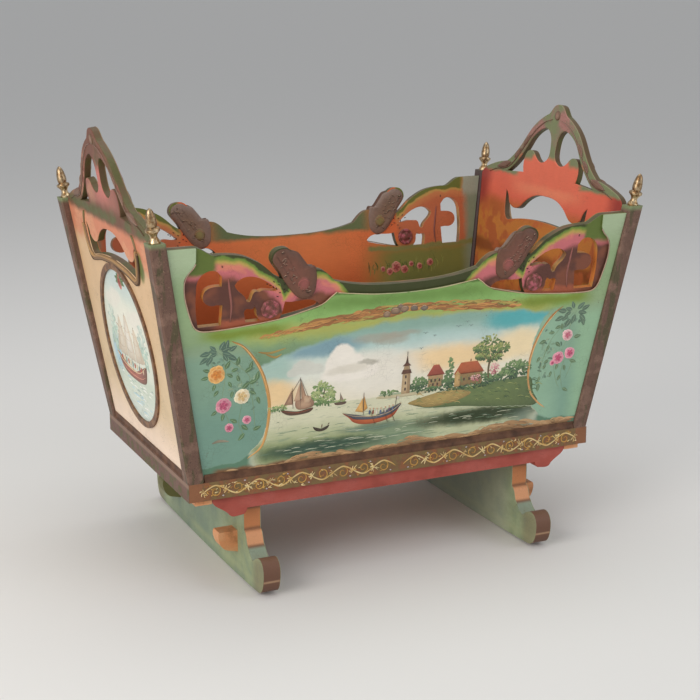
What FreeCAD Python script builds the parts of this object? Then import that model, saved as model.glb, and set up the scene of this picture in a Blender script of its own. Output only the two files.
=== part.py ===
import FreeCAD, Part
import Sketcher
import math
import os
import re
from FreeCAD import Placement, Rotation, Vector

# Painted wooden baby cradle on two rockers. Millimetres, +Z up.
# X is the length, Y the width, and the origin is on the floor under the middle.
# Heights in the outlines below are measured from the floor on a board's outer face.

SIZES = {
    "base_length": 820,
    "base_width": 485,
    "base_bottom": 180,
    "base_height": 33,
    "base_member": 30,
    "base_tenon": 9,
    "top_length": 966.6,
    "top_width": 591.5,
    "post_top": 651,
    "post_section": 30,
    "post_chamfer": 3,
    "side_thickness": 18,
    "side_inset": 6,
    "side_recess": 4,
    "end_thickness": 14,
    "end_inset_foot": 6,
    "end_inset_top": 14,
    "board_chamfer": 1.2,
    "joint_gap": 0.5,
    "bead_height": 14,
    "rocker_spacing": 560,
    "rocker_thickness": 33,
    "rocker_radius": 7000,
    "block_depth": 30,
    "block_front": 176,
    "block_top": 89,
    "bearer_depth": 45,
    "bearer_face": 235,
    "batten_width": 31,
    "batten_height": 10,
    "batten_outer": 396,
    "batten_length": 470,
    "floor_thickness": 14,
    "floor_gap": 1.5,
    "rosette_radius": 17,
    "rosette_x": 263,
    "rosette_height": 519,
    "ring_half_width": 153,
    "ring_half_height": 157,
    "ring_band": 12,
    "ring_rise": 4,
    "ring_height": 412,
    "pin_radius": 4,
    "pin_length": 36,
    "dowel_radius": 5,
    "finial_tenon_length": 24,
    "nail_radius": 3,
    "nail_length": 30,
    "batten_nail_length": 28,
}

doc = FreeCAD.newDocument("Cradle")
sheet = doc.addObject("Spreadsheet::Sheet", "Sizes")
for row, (alias, number) in enumerate(SIZES.items(), start=1):
    sheet.set("A%d" % row, alias)
    sheet.set("B%d" % row, str(number))
    sheet.setAlias("B%d" % row, alias)
doc.recompute()

nodes = {}


def size(alias):
    """A value from the sheet."""
    return float(sheet.get(alias))


def bind(feature, prop, expression):
    """Tie a property to an expression written with the sheet's aliases."""
    feature.setExpression(prop, re.sub(r"\b([a-z]\w+)\b", r"Sizes.\1", expression))


def node(name, feature):
    """Give a finished sub-part its label and keep it for writing."""
    feature.Label = name
    nodes[name] = feature
    return feature


# ---------------------------------------------------------------- derived values
base_top = size("base_bottom") + size("base_height")
rise = size("post_top") - base_top
slope_x = (size("top_length") - size("base_length")) / 2 / rise
slope_y = (size("top_width") - size("base_width")) / 2 / rise
slope_end = slope_x - (size("end_inset_top") - size("end_inset_foot")) / rise
half_length = size("base_length") / 2
half_width = size("base_width") / 2
inner_length = half_length - size("base_member")
inner_width = half_width - size("base_member")


# ---------------------------------------------------------------- drawing helpers
def path(start, *steps):
    """Segments from start: a tuple is a straight line to it, a list a smooth curve through its points."""
    segments = []
    here = start
    for step in steps:
        points = [here] + (step if isinstance(step, list) else [step])
        segments.append((isinstance(step, list), points))
        here = points[-1]
    return segments


def mirror(segments):
    """The same path on the other side of the middle line, drawn the other way."""
    return [(smooth, [(-x, y) for x, y in reversed(points)]) for smooth, points in reversed(segments)]


def draw(sketch, segments, to_board=None):
    """Put the segments into a sketch, through to_board where heights need changing."""
    for smooth, points in segments:
        places = [Vector(*(to_board(x, y) if to_board else (x, y)), 0) for x, y in points]
        if smooth:
            curve = Part.BSplineCurve()
            curve.interpolate(places)
            sketch.addGeometry(curve)
        else:
            sketch.addGeometry(Part.LineSegment(*places))


def new_body(name):
    return doc.addObject("PartDesign::Body", name)


def new_sketch(body, name, plane="XY_Plane", offset=None):
    """A sketch on one of the body's own origin planes; offset is an expression along the plane's normal."""
    sketch = body.newObject("Sketcher::SketchObject", name)
    origin_plane = [item for item in body.Origin.OriginFeatures if item.Role == plane][0]
    sketch.AttachmentSupport = [(origin_plane, "")]
    sketch.MapMode = "FlatFace"
    if offset:
        bind(sketch, "AttachmentOffset.Base.z", offset)
    return sketch


def rectangle(sketch, width, height):
    """A rectangle centred on the sketch's origin, its sides tied to the sheet."""
    corners = [Vector(-10, -10, 0), Vector(10, -10, 0), Vector(10, 10, 0), Vector(-10, 10, 0)]
    for index in range(4):
        sketch.addGeometry(Part.LineSegment(corners[index], corners[(index + 1) % 4]))
    for index in range(4):
        sketch.addConstraint(Sketcher.Constraint("Coincident", index, 2, (index + 1) % 4, 1))
        sketch.addConstraint(Sketcher.Constraint("Horizontal" if index % 2 == 0 else "Vertical", index))
    sketch.addConstraint(Sketcher.Constraint("Symmetric", 0, 1, 2, 1, -1, 1))
    for edge, sense, alias in ((0, "DistanceX", width), (1, "DistanceY", height)):
        number = sketch.addConstraint(Sketcher.Constraint(sense, edge, 1, edge, 2, 20))
        sketch.renameConstraint(number, sense)
        bind(sketch, "Constraints." + sense, alias)


def pad(body, sketch, length, midplane=False):
    feature = body.newObject("PartDesign::Pad", sketch.Name + "Pad")
    feature.Profile = sketch
    bind(feature, "Length", length)
    feature.Midplane = midplane
    return feature


def box(name, lengths, corner):
    """A Part::Box with its three lengths and its low corner tied to the sheet."""
    feature = doc.addObject("Part::Box", name)
    for prop, expression in zip(("Length", "Width", "Height"), lengths):
        bind(feature, prop, expression)
    for prop, expression in zip("xyz", corner):
        bind(feature, "Placement.Base." + prop, expression)
    return feature


def peg(name, place, direction, radius, length):
    """A cylinder centred on place, along direction."""
    feature = doc.addObject("Part::Cylinder", name)
    bind(feature, "Radius", radius)
    bind(feature, "Height", length)
    turn = Rotation(Vector(0, 0, 1), direction)
    middle = turn.multVec(Vector(0, 0, size(length) / 2))
    feature.Placement = Placement(place - middle, turn)
    return feature


def group(name, features):
    """One feature that holds several separate solids."""
    feature = doc.addObject("Part::Compound", name)
    feature.Links = features
    return feature


def cut(name, base, tool):
    feature = doc.addObject("Part::Cut", name)
    feature.Base = base
    feature.Tool = tool
    return feature


def fuse(name, base, tool):
    feature = doc.addObject("Part::Fuse", name)
    feature.Base = base
    feature.Tool = tool
    return feature


# ---------------------------------------------------------------- boards in leaning planes
class Leaning:
    """The plane of a board that leans outwards from its foot on the base."""

    def __init__(self, azimuth, outer_foot, slope, thickness):
        self.angle = math.atan(slope)
        self.thickness = thickness
        self.azimuth = azimuth
        self.inner_foot = outer_foot - thickness / math.cos(self.angle)

    def placement(self):
        """Board X runs along the board, Y up its slope and Z out of its outer face."""
        around = Rotation(Vector(0, 0, 1), self.azimuth)
        upright = Rotation(Vector(1, 0, 0), 90 + math.degrees(self.angle))
        foot = around.multVec(Vector(0, -self.inner_foot, base_top))
        return Placement(foot, around.multiply(upright))

    def up_slope(self, x, height):
        """Board coordinates of a point on the outer face at a height above the floor."""
        return x, (height - base_top) / math.cos(self.angle) + self.thickness * math.tan(self.angle)


side_face = half_width - size("side_inset")
end_face = half_length - size("end_inset_foot")
SIDES = {
    "front": Leaning(0, side_face, slope_y, size("side_thickness")),
    "back": Leaning(180, side_face, slope_y, size("side_thickness")),
}
ENDS = {
    "left": Leaning(-90, end_face, slope_end, size("end_thickness")),
    "right": Leaning(90, end_face, slope_end, size("end_thickness")),
}

# Below the base's top, so that a board's foot can be trimmed level.
FOOT_TRIM = base_top - 6
SIDE_TOP = 638
SHOULDER = 647
DIP = [(86, 546), (0, 542), (-86, 546), (-143, 558)]
EAR = [(158, 573), (172, 581), (188, 580)]
CLUB = [(199, 588), (210, 598), (219, 610), (227, 619), (236, 624.5), (247, 625),
        (257, 621), (263, 612), (263, 603), (257, 594), (248, 583), (241, 570)]
ARCH = [(262, 583), (279, 598), (294, 607), (314, 616), (336, 620.5), (360, 622)]
HORN = [(372, 623), (382, 629), (394, 636), (405, SIDE_TOP)]


def side_outline():
    """The side board: dipped middle, and on each side an ear, a club, an arch and a flat end."""
    foot = inner_length + slope_x * (FOOT_TRIM - base_top) - size("joint_gap")
    shoulder = inner_length + slope_x * (SIDE_TOP - base_top) - size("joint_gap")
    left_up = path((-143, 558), [(-x, y) for x, y in EAR[:-1]] + [(-188, 580)],
                   [(-x, y) for x, y in CLUB], [(-x, y) for x, y in ARCH],
                   [(-x, y) for x, y in HORN], (-shoulder, SIDE_TOP), (-foot, FOOT_TRIM))
    return mirror(left_up) + path((143, 558), DIP) + left_up + path((-foot, FOOT_TRIM), (foot, FOOT_TRIM))


def side_piercings():
    """The three piercings of one fretted end, and the slot that its volute splits in two."""
    slot = path((352, 498), (394, 498), [(398, 530), (398, 560), (394, 582), (386, 591), (373, 596), (360, 593)],
                (352, 584), (352, 567), [(366, 567), (380, 562), (385, 553)],
                [(383, 542), (376, 536), (362, 535)], (350, 534), (352, 498))
    eye = path((250, 552), [(262, 562), (275, 571), (292, 578.5), (309, 580)], [(322, 575), (329, 567)],
               [(322, 556), (313, 548), (307, 537)], [(301, 535), (296, 546), (284, 551)],
               [(272, 553), (262, 551), (250, 552)])
    left_slot = path((171, 518), [(180, 526), (206, 529), (236, 530)], [(238.5, 519), (241.5, 508), (246, 500)],
                     [(214, 505), (175, 514)], (171, 518))
    right_slot = path((288, 519), [(286.5, 508), (280, 499)], (308, 499), (311, 516),
                      [(305, 523), (297, 522), (292, 527)], (288, 519))
    return slot, eye, left_slot, right_slot


def side_recess():
    """The sunk ground of the fretwork: below the dip's rim and round the piercings, open at the top."""
    above = SIDE_TOP + 20
    left = path((-139, 538), [(-150, 530), (-167, 518), (-200, 509), (-246, 499), (-306, 493), (-351, 490)],
                [(-384, 490), (-398, 495), (-406, 506)],
                [(-414, 530), (-420, 555), (-421, 578)], [(-415, 594), (-406, 604), (-400, 616)],
                (-400, above), (0, above))
    rim = path((0, 526), [(-70, 529), (-139, 538)])
    return mirror(left) + mirror(rim) + rim + left


def side_board(name, plane):
    """A pierced and dipped side board with a sunk ground and holes for its two rosettes."""
    body = new_body(name + "_body")
    outline = new_sketch(body, name + "_outline")
    draw(outline, side_outline(), plane.up_slope)
    for segments in side_piercings():
        draw(outline, segments, plane.up_slope)
        draw(outline, mirror(segments), plane.up_slope)
    pad(body, outline, "side_thickness")
    ground = new_sketch(body, name + "_ground", offset="side_thickness")
    draw(ground, side_recess(), plane.up_slope)
    pocket = body.newObject("PartDesign::Pocket", name + "_recess")
    pocket.Profile = ground
    bind(pocket, "Length", "side_recess")
    holes = new_sketch(body, name + "_rosette_holes", offset="side_thickness")
    for sign in (-1, 1):
        centre = Vector(*plane.up_slope(sign * size("rosette_x"), size("rosette_height")), 0)
        holes.addGeometry(Part.Circle(centre, Vector(0, 0, 1), size("rosette_radius")))
    drilled = body.newObject("PartDesign::Pocket", name + "_drilled")
    drilled.Profile = holes
    drilled.Type = "ThroughAll"
    body.Tip = drilled
    body.Placement = plane.placement()
    return body


def ease(body, name):
    """Break the sharp edges round a board's two flat faces."""
    doc.recompute()
    base = body.Tip
    rims = []
    for face in base.Shape.Faces:
        if isinstance(face.Surface, Part.Plane) and abs(face.Surface.Axis.z) > 0.99:
            rims.extend(face.Edges)
    names = ["Edge%d" % number for number, edge in enumerate(base.Shape.Edges, start=1)
             if any(edge.isSame(rim) for rim in rims)]
    eased = body.newObject("PartDesign::Chamfer", name + "_eased")
    eased.Base = (base, names)
    bind(eased, "Size", "board_chamfer")
    body.Tip = eased


def end_outline():
    """The end board: straight sides, sloping shoulders and a pointed arch with a knob."""
    foot = inner_width + slope_y * (FOOT_TRIM - base_top) - size("joint_gap")
    shoulder = inner_width + slope_y * (SHOULDER - base_top) - size("joint_gap")
    right = path((foot, FOOT_TRIM), (shoulder, SHOULDER), [(252, 660), (235, 667), (205, 676), (170, 682)],
                 [(148, 696), (119, 724), (88, 760), (60, 780), (34, 792)],
                 [(26, 799), (16, 809), (0, 813), (-16, 809), (-26, 799), (-34, 792)])
    return right + mirror(right[:-1]) + path((-foot, FOOT_TRIM), (foot, FOOT_TRIM))


def crest_opening():
    """One half of the tracery in the pointed arch, with its mound and leaf stub."""
    return path((162, 662), [(146, 672), (124, 690), (103, 712), (82, 739), (60, 755), (38, 763)],
                [(24, 759), (14, 748), (9.5, 728), (11, 709), (23, 697)],
                [(38, 693), (51, 697), (61, 704)], [(69, 711), (79, 714), (90, 712), (98, 704)],
                [(102, 693), (102, 680), (98, 667)], (162, 662))


def handhold():
    """The handhold: horns at both ends, two hanging lobes and an arch between them."""
    right = path((0, 576), [(60, 574), (130, 563)], [(142, 567), (149, 582), (152, 602), (155, 624)],
                 [(144, 615), (137, 600)], [(125, 592), (106, 590), (88, 598)])
    crown = path((88, 598), [(68, 613), (38, 625), (0, 628), (-38, 625), (-68, 613), (-88, 598)])
    return right + crown + mirror(right)


def end_board(name, plane):
    """A leaning end board with its pointed crest, tracery and handhold."""
    body = new_body(name + "_body")
    outline = new_sketch(body, name + "_outline")
    draw(outline, end_outline(), plane.up_slope)
    draw(outline, crest_opening(), plane.up_slope)
    draw(outline, mirror(crest_opening()), plane.up_slope)
    draw(outline, handhold(), plane.up_slope)
    body.Tip = pad(body, outline, "end_thickness")
    ease(body, name)
    body.Placement = plane.placement()
    return body


def trim_block(name, plane):
    """The waste under a board's foot, below the base's top."""
    block = doc.addObject("Part::Box", name)
    bind(block, "Length", "top_length")
    block.Width = 60
    block.Height = 20
    turn = Rotation(Vector(0, 0, 1), plane.azimuth)
    corner = Vector(-size("top_length") / 2, -plane.inner_foot - 40, base_top - 20)
    block.Placement = Placement(turn.multVec(corner), turn)
    return block


# ---------------------------------------------------------------- pins from the posts into the boards
SIDE_PIN_HEIGHTS = (270, 370, 470)
END_PIN_HEIGHTS = (245, 400, 540, 615)


def pin_places(plane, heights, inner_edge, slope):
    """Points in the middle of a board's thickness at its two side edges."""
    for height in heights:
        edge = inner_edge + slope * (height - base_top)
        for sign in (-1, 1):
            local = plane.up_slope(sign * edge, height)
            middle = Vector(local[0], local[1], plane.thickness / 2)
            yield plane.placement().multVec(middle)


side_pins = []
for side, plane in SIDES.items():
    for place in pin_places(plane, SIDE_PIN_HEIGHTS, inner_length, slope_x):
        side_pins.append(peg("side_pin_%d" % len(side_pins), place, Vector(1, 0, 0), "pin_radius", "pin_length"))
end_pins = []
for side, plane in ENDS.items():
    for place in pin_places(plane, END_PIN_HEIGHTS, inner_width, slope_y):
        end_pins.append(peg("end_pin_%d" % len(end_pins), place, Vector(0, 1, 0), "pin_radius", "pin_length"))
side_board_pins = node("side_board_pins", group("side_pins", side_pins))
end_board_pins = node("end_board_pins", group("end_pins", end_pins))

for side, plane in SIDES.items():
    name = side + "_side_board"
    board = cut(name + "_trimmed", side_board(name, plane), trim_block(name + "_waste", plane))
    node(name, cut(name, board, side_board_pins))
for side, plane in ENDS.items():
    name = side + "_end_board"
    board = cut(name + "_trimmed", end_board(name, plane), trim_block(name + "_waste", plane))
    node(name, cut(name, board, end_board_pins))


# ---------------------------------------------------------------- rosettes and medallion rings
def revolve(body, sketch):
    """A full turn of the sketch about its own vertical axis."""
    feature = body.newObject("PartDesign::Revolution", sketch.Name + "Turned")
    feature.Profile = sketch
    feature.ReferenceAxis = (sketch, ["V_Axis"])
    feature.Angle = 360
    return feature


def rosette_profile():
    """Half section of a turned roundel, proud of the board on both faces."""
    radius = size("rosette_radius")
    inner = 0
    outer = size("side_thickness") - size("side_recess")
    return path((0, inner - 4), [(5, inner - 3.6), (9, inner - 1.6)], (11, inner - 1.2), (12.5, inner - 3),
                (15.5, inner - 3), (radius, inner - 1), (radius, outer + 1), (15.5, outer + 3),
                (12.5, outer + 3), (11, outer + 1.2), (9, outer + 1.6), [(5, outer + 3.6), (0, outer + 4)],
                (0, inner - 4))


def rosette(name, plane, sign):
    body = new_body(name + "_body")
    sketch = new_sketch(body, name + "_section", plane="XZ_Plane")
    draw(sketch, rosette_profile())
    body.Tip = revolve(body, sketch)
    local = plane.up_slope(sign * size("rosette_x"), size("rosette_height"))
    body.Placement = plane.placement().multiply(Placement(Vector(local[0], local[1], 0), Rotation()))
    return body


for side, plane in SIDES.items():
    mirrored_side = 1 if side == "front" else -1
    for end, sign in (("left", -1), ("right", 1)):
        name = "%s_%s_rosette" % (side, end)
        node(name, rosette(name, plane, sign * mirrored_side))


def medallion_ring(name, plane):
    """The raised oval frame round the painting on an end board."""
    body = new_body(name + "_body")
    sketch = new_sketch(body, name + "_ovals", offset="end_thickness")
    centre = Vector(*plane.up_slope(0, size("ring_height")), 0)
    tall = size("ring_half_height")
    wide = size("ring_half_width")
    band = size("ring_band")
    for inset in (0, band):
        oval = Part.Ellipse(centre + Vector(0, tall - inset, 0), centre + Vector(inset - wide, 0, 0), centre)
        sketch.addGeometry(oval)
    raised = pad(body, sketch, "ring_rise")
    body.Tip = raised
    body.Placement = plane.placement()
    return body


for side, plane in ENDS.items():
    name = side + "_medallion_ring"
    node(name, medallion_ring(name, plane))


# ---------------------------------------------------------------- places of the posts and their foot dowels
foot_dowels = []
posts = {}
for end, sign_x in (("left", -1), ("right", 1)):
    for side, sign_y in (("front", -1), ("back", 1)):
        corner = "%s_%s" % (side, end)
        half = size("post_section") / 2
        foot = Vector(sign_x * (half_length - half), sign_y * (half_width - half), base_top)
        foot_dowels.append(peg(corner + "_foot_dowel", foot, Vector(0, 0, 1), "dowel_radius", "pin_length"))
        posts[corner] = (foot, sign_x, sign_y)
post_foot_dowels = node("post_foot_dowels", group("foot_dowels", foot_dowels))


# ---------------------------------------------------------------- upright dowels and nails under the body
UP = Vector(0, 0, 1)
NAIL_ROWS = (-186, -100, -45, 45, 100, 186)
rocker_x = size("rocker_spacing") / 2
bearer_inner = size("bearer_face") - size("bearer_depth")


def upright_set(name, kind, places, radius, length):
    """Round pieces standing at the given middles, all in one node."""
    pieces = []
    for place in places:
        pieces.append(peg("%s_%d" % (kind, len(pieces)), Vector(*place), UP, radius, length))
    return node(name, group(kind + "s", pieces))


rocker_dowels = upright_set(
    "rocker_dowels", "rocker_dowel",
    [(x, y, 153) for x in (-rocker_x, rocker_x) for y in (-199, 199)], "dowel_radius", "pin_length")
bearer_dowels = upright_set(
    "bearer_dowels", "bearer_dowel",
    [(x, y, size("base_bottom")) for x in (-330, -110, 110, 330) for y in (-224, 224)],
    "dowel_radius", "pin_length")
floor_top = size("base_bottom") + size("floor_thickness")
floor_nails = upright_set(
    "floor_nails", "floor_nail",
    [(x, y, floor_top + 0.3 - size("nail_length") / 2) for x in (-rocker_x, rocker_x) for y in NAIL_ROWS],
    "nail_radius", "nail_length")
batten_nails = upright_set(
    "batten_nails", "batten_nail",
    [(x, y, size("base_bottom") + 4) for x in (-388, 388) for y in (-190, -65, 65, 190)],
    "nail_radius", "batten_nail_length")


# ---------------------------------------------------------------- base frame
BASE = "base_bottom"
LOW_X = "base_length / 2"
LOW_Y = "base_width / 2"
tenons = []
for side, low_y in (("front", "-" + LOW_Y), ("back", LOW_Y + " - base_member")):
    rail = box("base_%s_bar" % side, ("base_length - 2 * base_member", "base_member", "base_height"),
               ("base_member - " + LOW_X, low_y, BASE))
    tenon = box("base_%s_tenon" % side,
                ("base_length - 2 * base_member + 2 * base_tenon", "base_member / 2", "base_height / 2"),
                ("base_member - base_tenon - " + LOW_X, low_y + " + base_member / 4", BASE + " + base_height / 4"))
    tenons.append(tenon)
    whole = fuse("base_%s_tenoned" % side, rail, tenon)
    node("base_rail_" + side, cut("base_rail_" + side, whole, bearer_dowels))
joints = group("base_joints", tenons + [post_foot_dowels, batten_nails])
for side, low_x in (("left", "-" + LOW_X), ("right", LOW_X + " - base_member")):
    rail = box("base_%s_bar" % side, ("base_member", "base_width", "base_height"), (low_x, "-" + LOW_Y, BASE))
    node("base_rail_" + side, cut("base_rail_" + side, rail, joints))


# ---------------------------------------------------------------- coved beads at the feet of the boards
def bead(name, azimuth, edge, face, slope, half_run):
    """A small coved strip in the ledge between a board's face and the base's outer edge."""
    body = new_body(name + "_body")
    sketch = new_sketch(body, name + "_section", plane="YZ_Plane")
    height = size("bead_height")
    gap = 0.15
    outer = gap - edge
    inner = -face - gap
    top = -face - gap - slope * height
    draw(sketch, path((inner, 0), (outer, 0), (outer, 3), [(outer + 1.6, 5), (top - 1.6, height - 3)],
                      (top - 1.2, height), (top, height), (inner, 0)))
    strip = body.newObject("PartDesign::Pad", name + "_strip")
    strip.Profile = sketch
    strip.Midplane = True
    strip.Length = 2 * half_run
    body.Tip = strip
    turn = Rotation(Vector(0, 0, 1), azimuth)
    body.Placement = Placement(Vector(0, 0, base_top), turn)
    return node(name, body)


bead("front_bead", 0, half_width, side_face, slope_y, inner_length - size("joint_gap"))
bead("back_bead", 180, half_width, side_face, slope_y, inner_length - size("joint_gap"))
bead("left_bead", -90, half_length, end_face, slope_end, inner_width - size("joint_gap"))
bead("right_bead", 90, half_length, end_face, slope_end, inner_width - size("joint_gap"))


# ---------------------------------------------------------------- posts and finials
def post(name, sign_x, sign_y):
    """A square post that leans outwards both ways, with its long edges chamfered."""
    body = new_body(name + "_body")
    sketch = new_sketch(body, name + "_section")
    rectangle(sketch, "post_section", "post_section")
    shaft = pad(body, sketch, "post_top - base_bottom - base_height")
    shaft.UseCustomVector = True
    shaft.Direction = Vector(sign_x * slope_x, sign_y * slope_y, 1)
    shaft.AlongSketchNormal = True
    body.Tip = shaft
    doc.recompute()
    long_edges = ["Edge%d" % number for number, edge in enumerate(shaft.Shape.Edges, start=1)
                  if abs(edge.Vertexes[0].Z - edge.Vertexes[-1].Z) > rise / 2]
    chamfer = body.newObject("PartDesign::Chamfer", name + "_chamfer")
    chamfer.Base = (shaft, long_edges)
    bind(chamfer, "Size", "post_chamfer")
    body.Tip = chamfer
    half = size("post_section") / 2
    body.Placement = Placement(Vector(sign_x * (half_length - half), sign_y * (half_width - half), base_top),
                               Rotation())
    return body


def finial_profile():
    """Half section of a turned finial: flared foot, neck, collar and acorn."""
    return path((0, -4), (9.6, -4), [(10.2, -1), (10.4, 3)], [(8.4, 6), (6.4, 10), (6.8, 15)],
                [(9.5, 19), (12.2, 21.5)], (12.6, 24), (12.2, 26), [(9.6, 27.4), (7.8, 28.6)],
                [(8.9, 33), (8.8, 40), (7.4, 49), (4.4, 57), (0, 61)], (0, -4))


def finial(name, place, lean):
    """The finial trimmed level on its post, with its round tenon."""
    body = new_body(name + "_body")
    sketch = new_sketch(body, name + "_section", plane="XZ_Plane")
    draw(sketch, finial_profile())
    body.Tip = revolve(body, sketch)
    turn = Rotation(Vector(0, 0, 1), lean)
    body.Placement = Placement(place, turn)
    waste = doc.addObject("Part::Box", name + "_waste")
    waste.Length = 60
    waste.Width = 60
    waste.Height = 20
    waste.Placement = Placement(place - Vector(30, 30, 20), Rotation())
    return cut(name + "_level", body, waste)


for corner, (foot, sign_x, sign_y) in posts.items():
    lean = Vector(sign_x * slope_x, sign_y * slope_y, 1)
    top = foot + lean * rise
    tenon = peg(corner + "_finial_tenon", top - lean * 10, lean, "dowel_radius", "finial_tenon_length")
    turned = finial(corner + "_finial", top, lean)
    node(corner + "_finial", fuse(corner + "_finial", turned, tenon))
    sockets = group(corner + "_sockets", [tenon, side_board_pins, end_board_pins, post_foot_dowels])
    node(corner + "_post", cut(corner + "_post", post(corner + "_post", sign_x, sign_y), sockets))


# ---------------------------------------------------------------- rockers
def rocker_outline():
    """The rocker: flat-topped middle, notches under the bearers, a stepped throat and a rolled nose."""
    top = size("base_bottom")
    radius = size("rocker_radius")
    notch_top = 153
    notch_inner = size("bearer_face") - size("bearer_depth") - 0.5
    half = path((0, top), (notch_inner, top), (notch_inner, notch_top), (209, notch_top), (209, 101), (212, 100),
                [(218, 93), (221, 84), (227, 74)], (229, 72), [(236, 64), (250, 55)],
                [(262, 64), (272, 69), (284, 71), (296, 65), (302, 51), (301, 35), (296, 20), (286, 9),
                 (270, 5.4), (255, radius - math.sqrt(radius ** 2 - 255 ** 2))])
    return half


def rocker(name, centre_x):
    """A rocker cut from one plank, its underside an arc of a very large circle."""
    body = new_body(name + "_body")
    sketch = new_sketch(body, name + "_outline", plane="YZ_Plane")
    half = rocker_outline()
    draw(sketch, half)
    draw(sketch, mirror(half))
    end = half[-1][1][-1]
    start = Vector(-end[0], end[1], 0)
    arc = Part.Arc(Vector(end[0], end[1], 0), Vector(0, 0, 0), start)
    sketch.addGeometry(arc)
    body.Tip = pad(body, sketch, "rocker_thickness", midplane=True)
    bind(body, "Placement.Base.x", centre_x)
    return body


def side_block(name, azimuth, along):
    """The rounded bracket block on a rocker's outer face."""
    body = new_body(name + "_body")
    sketch = new_sketch(body, name + "_outline", plane="XZ_Plane")
    draw(sketch, path((0, 0), (35, 0), [(36.5, -3), (36, -16), (30, -29), (17, -37)], (0, -41), (0, 0)))
    body.Tip = pad(body, sketch, "block_depth", midplane=True)
    body.Placement = Placement(along, Rotation(Vector(0, 0, 1), azimuth))
    return body


face = size("rocker_spacing") / 2 + size("rocker_thickness") / 2
block_middle = size("block_front") - size("block_depth") / 2
rocker_holes = group("rocker_holes", [rocker_dowels, floor_nails])
for side, sign in (("left", -1), ("right", 1)):
    name = side + "_rocker"
    node(name, cut(name, rocker(name, "%d * rocker_spacing / 2" % sign), rocker_holes))
    for end, sign_y in (("front", -1), ("back", 1)):
        name = "%s_%s_rocker_block" % (side, end)
        place = Vector(sign * face, sign_y * block_middle, size("block_top"))
        node(name, side_block(name, 0 if sign > 0 else 180, place))


# ---------------------------------------------------------------- bearers, battens and floor
def bearer_outline():
    """Half of the bearer's front: straight between the rockers, a lobe and an ogee end outside them."""
    top = size("base_bottom")
    return path((0, top), (364, top), [(364, 174), (358, 164)], [(349, 158), (340, 152), (334, 147)],
                [(330, 142), (317, 140.5), (305, 142)], [(301, 146), (299, 153)], (0, 153))


def bearer(name, low_y):
    body = new_body(name + "_body")
    sketch = new_sketch(body, name + "_outline", plane="XZ_Plane")
    half = bearer_outline()
    draw(sketch, half)
    draw(sketch, mirror(half))
    body.Tip = pad(body, sketch, "bearer_depth", midplane=True)
    bind(body, "Placement.Base.y", low_y)
    return body


bearer_holes = group("bearer_holes", [rocker_dowels, bearer_dowels])
for side, low_y in (("front", "bearer_depth / 2 - bearer_face"), ("back", "bearer_face - bearer_depth / 2")):
    name = side + "_bearer"
    node(name, cut(name, bearer(name, low_y), bearer_holes))

for side, low_x in (("left", "-batten_outer"), ("right", "batten_outer - batten_width")):
    plain = box(side + "_batten_bar", ("batten_width", "batten_length", "batten_height"),
                (low_x, "-batten_length / 2", "base_bottom - batten_height"))
    name = side + "_floor_batten"
    node(name, cut(name, plain, batten_nails))

FLOOR_LENGTH = "base_length - 2 * base_member - 2 * floor_gap"
FLOOR_WIDTH = "(base_width - 2 * base_member - 4 * floor_gap) / 3"
for side, step in (("front", -1), ("middle", 0), ("back", 1)):
    low_y = "%d * (%s + floor_gap) - %s / 2" % (step, FLOOR_WIDTH, FLOOR_WIDTH)
    plain = box(side + "_plank", (FLOOR_LENGTH, FLOOR_WIDTH, "floor_thickness"),
                ("floor_gap + base_member - base_length / 2", low_y, "base_bottom"))
    name = side + "_floor_board"
    node(name, cut(name, plain, floor_nails))


# ---------------------------------------------------------------- checks and export
doc.recompute()
for feature in doc.Objects:
    if "Invalid" in feature.State or "Error" in feature.State:
        raise RuntimeError("%s did not rebuild: %s" % (feature.Name, feature.State))
os.makedirs("parts", exist_ok=True)
for name, feature in nodes.items():
    shape = feature.Shape
    if shape.isNull() or not shape.isValid() or not shape.Solids:
        raise RuntimeError("%s has no valid solid" % name)
    if feature.Label != name:
        raise RuntimeError("%s is labelled %s" % (name, feature.Label))
    print("%-26s %2d solids %10.0f mm3" % (name, len(shape.Solids), shape.Volume))
for name, feature in nodes.items():
    feature.Shape.exportStep("parts/%s.step" % name)
print(len(nodes), "nodes")
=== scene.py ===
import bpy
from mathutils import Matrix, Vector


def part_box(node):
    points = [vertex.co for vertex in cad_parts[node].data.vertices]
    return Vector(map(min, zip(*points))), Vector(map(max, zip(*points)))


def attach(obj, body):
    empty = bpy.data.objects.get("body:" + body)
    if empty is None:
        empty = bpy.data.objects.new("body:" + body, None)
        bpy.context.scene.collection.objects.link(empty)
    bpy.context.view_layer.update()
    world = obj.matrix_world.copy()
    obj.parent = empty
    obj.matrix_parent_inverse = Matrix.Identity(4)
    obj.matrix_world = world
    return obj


bl_info = {
    "name": "Painted baby cradle",
    "version": (1, 0, 0),
    "blender": (4, 5, 0),
    "location": "View3D > Sidebar > Cradle",
    "description": "Paints and dresses a wooden baby cradle on rockers around its CAD frame",
    "category": "Object",
}

from math import atan, cos, pi, radians, sin, sqrt

import bmesh
import bpy
import numpy as np
from mathutils import Vector

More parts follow.
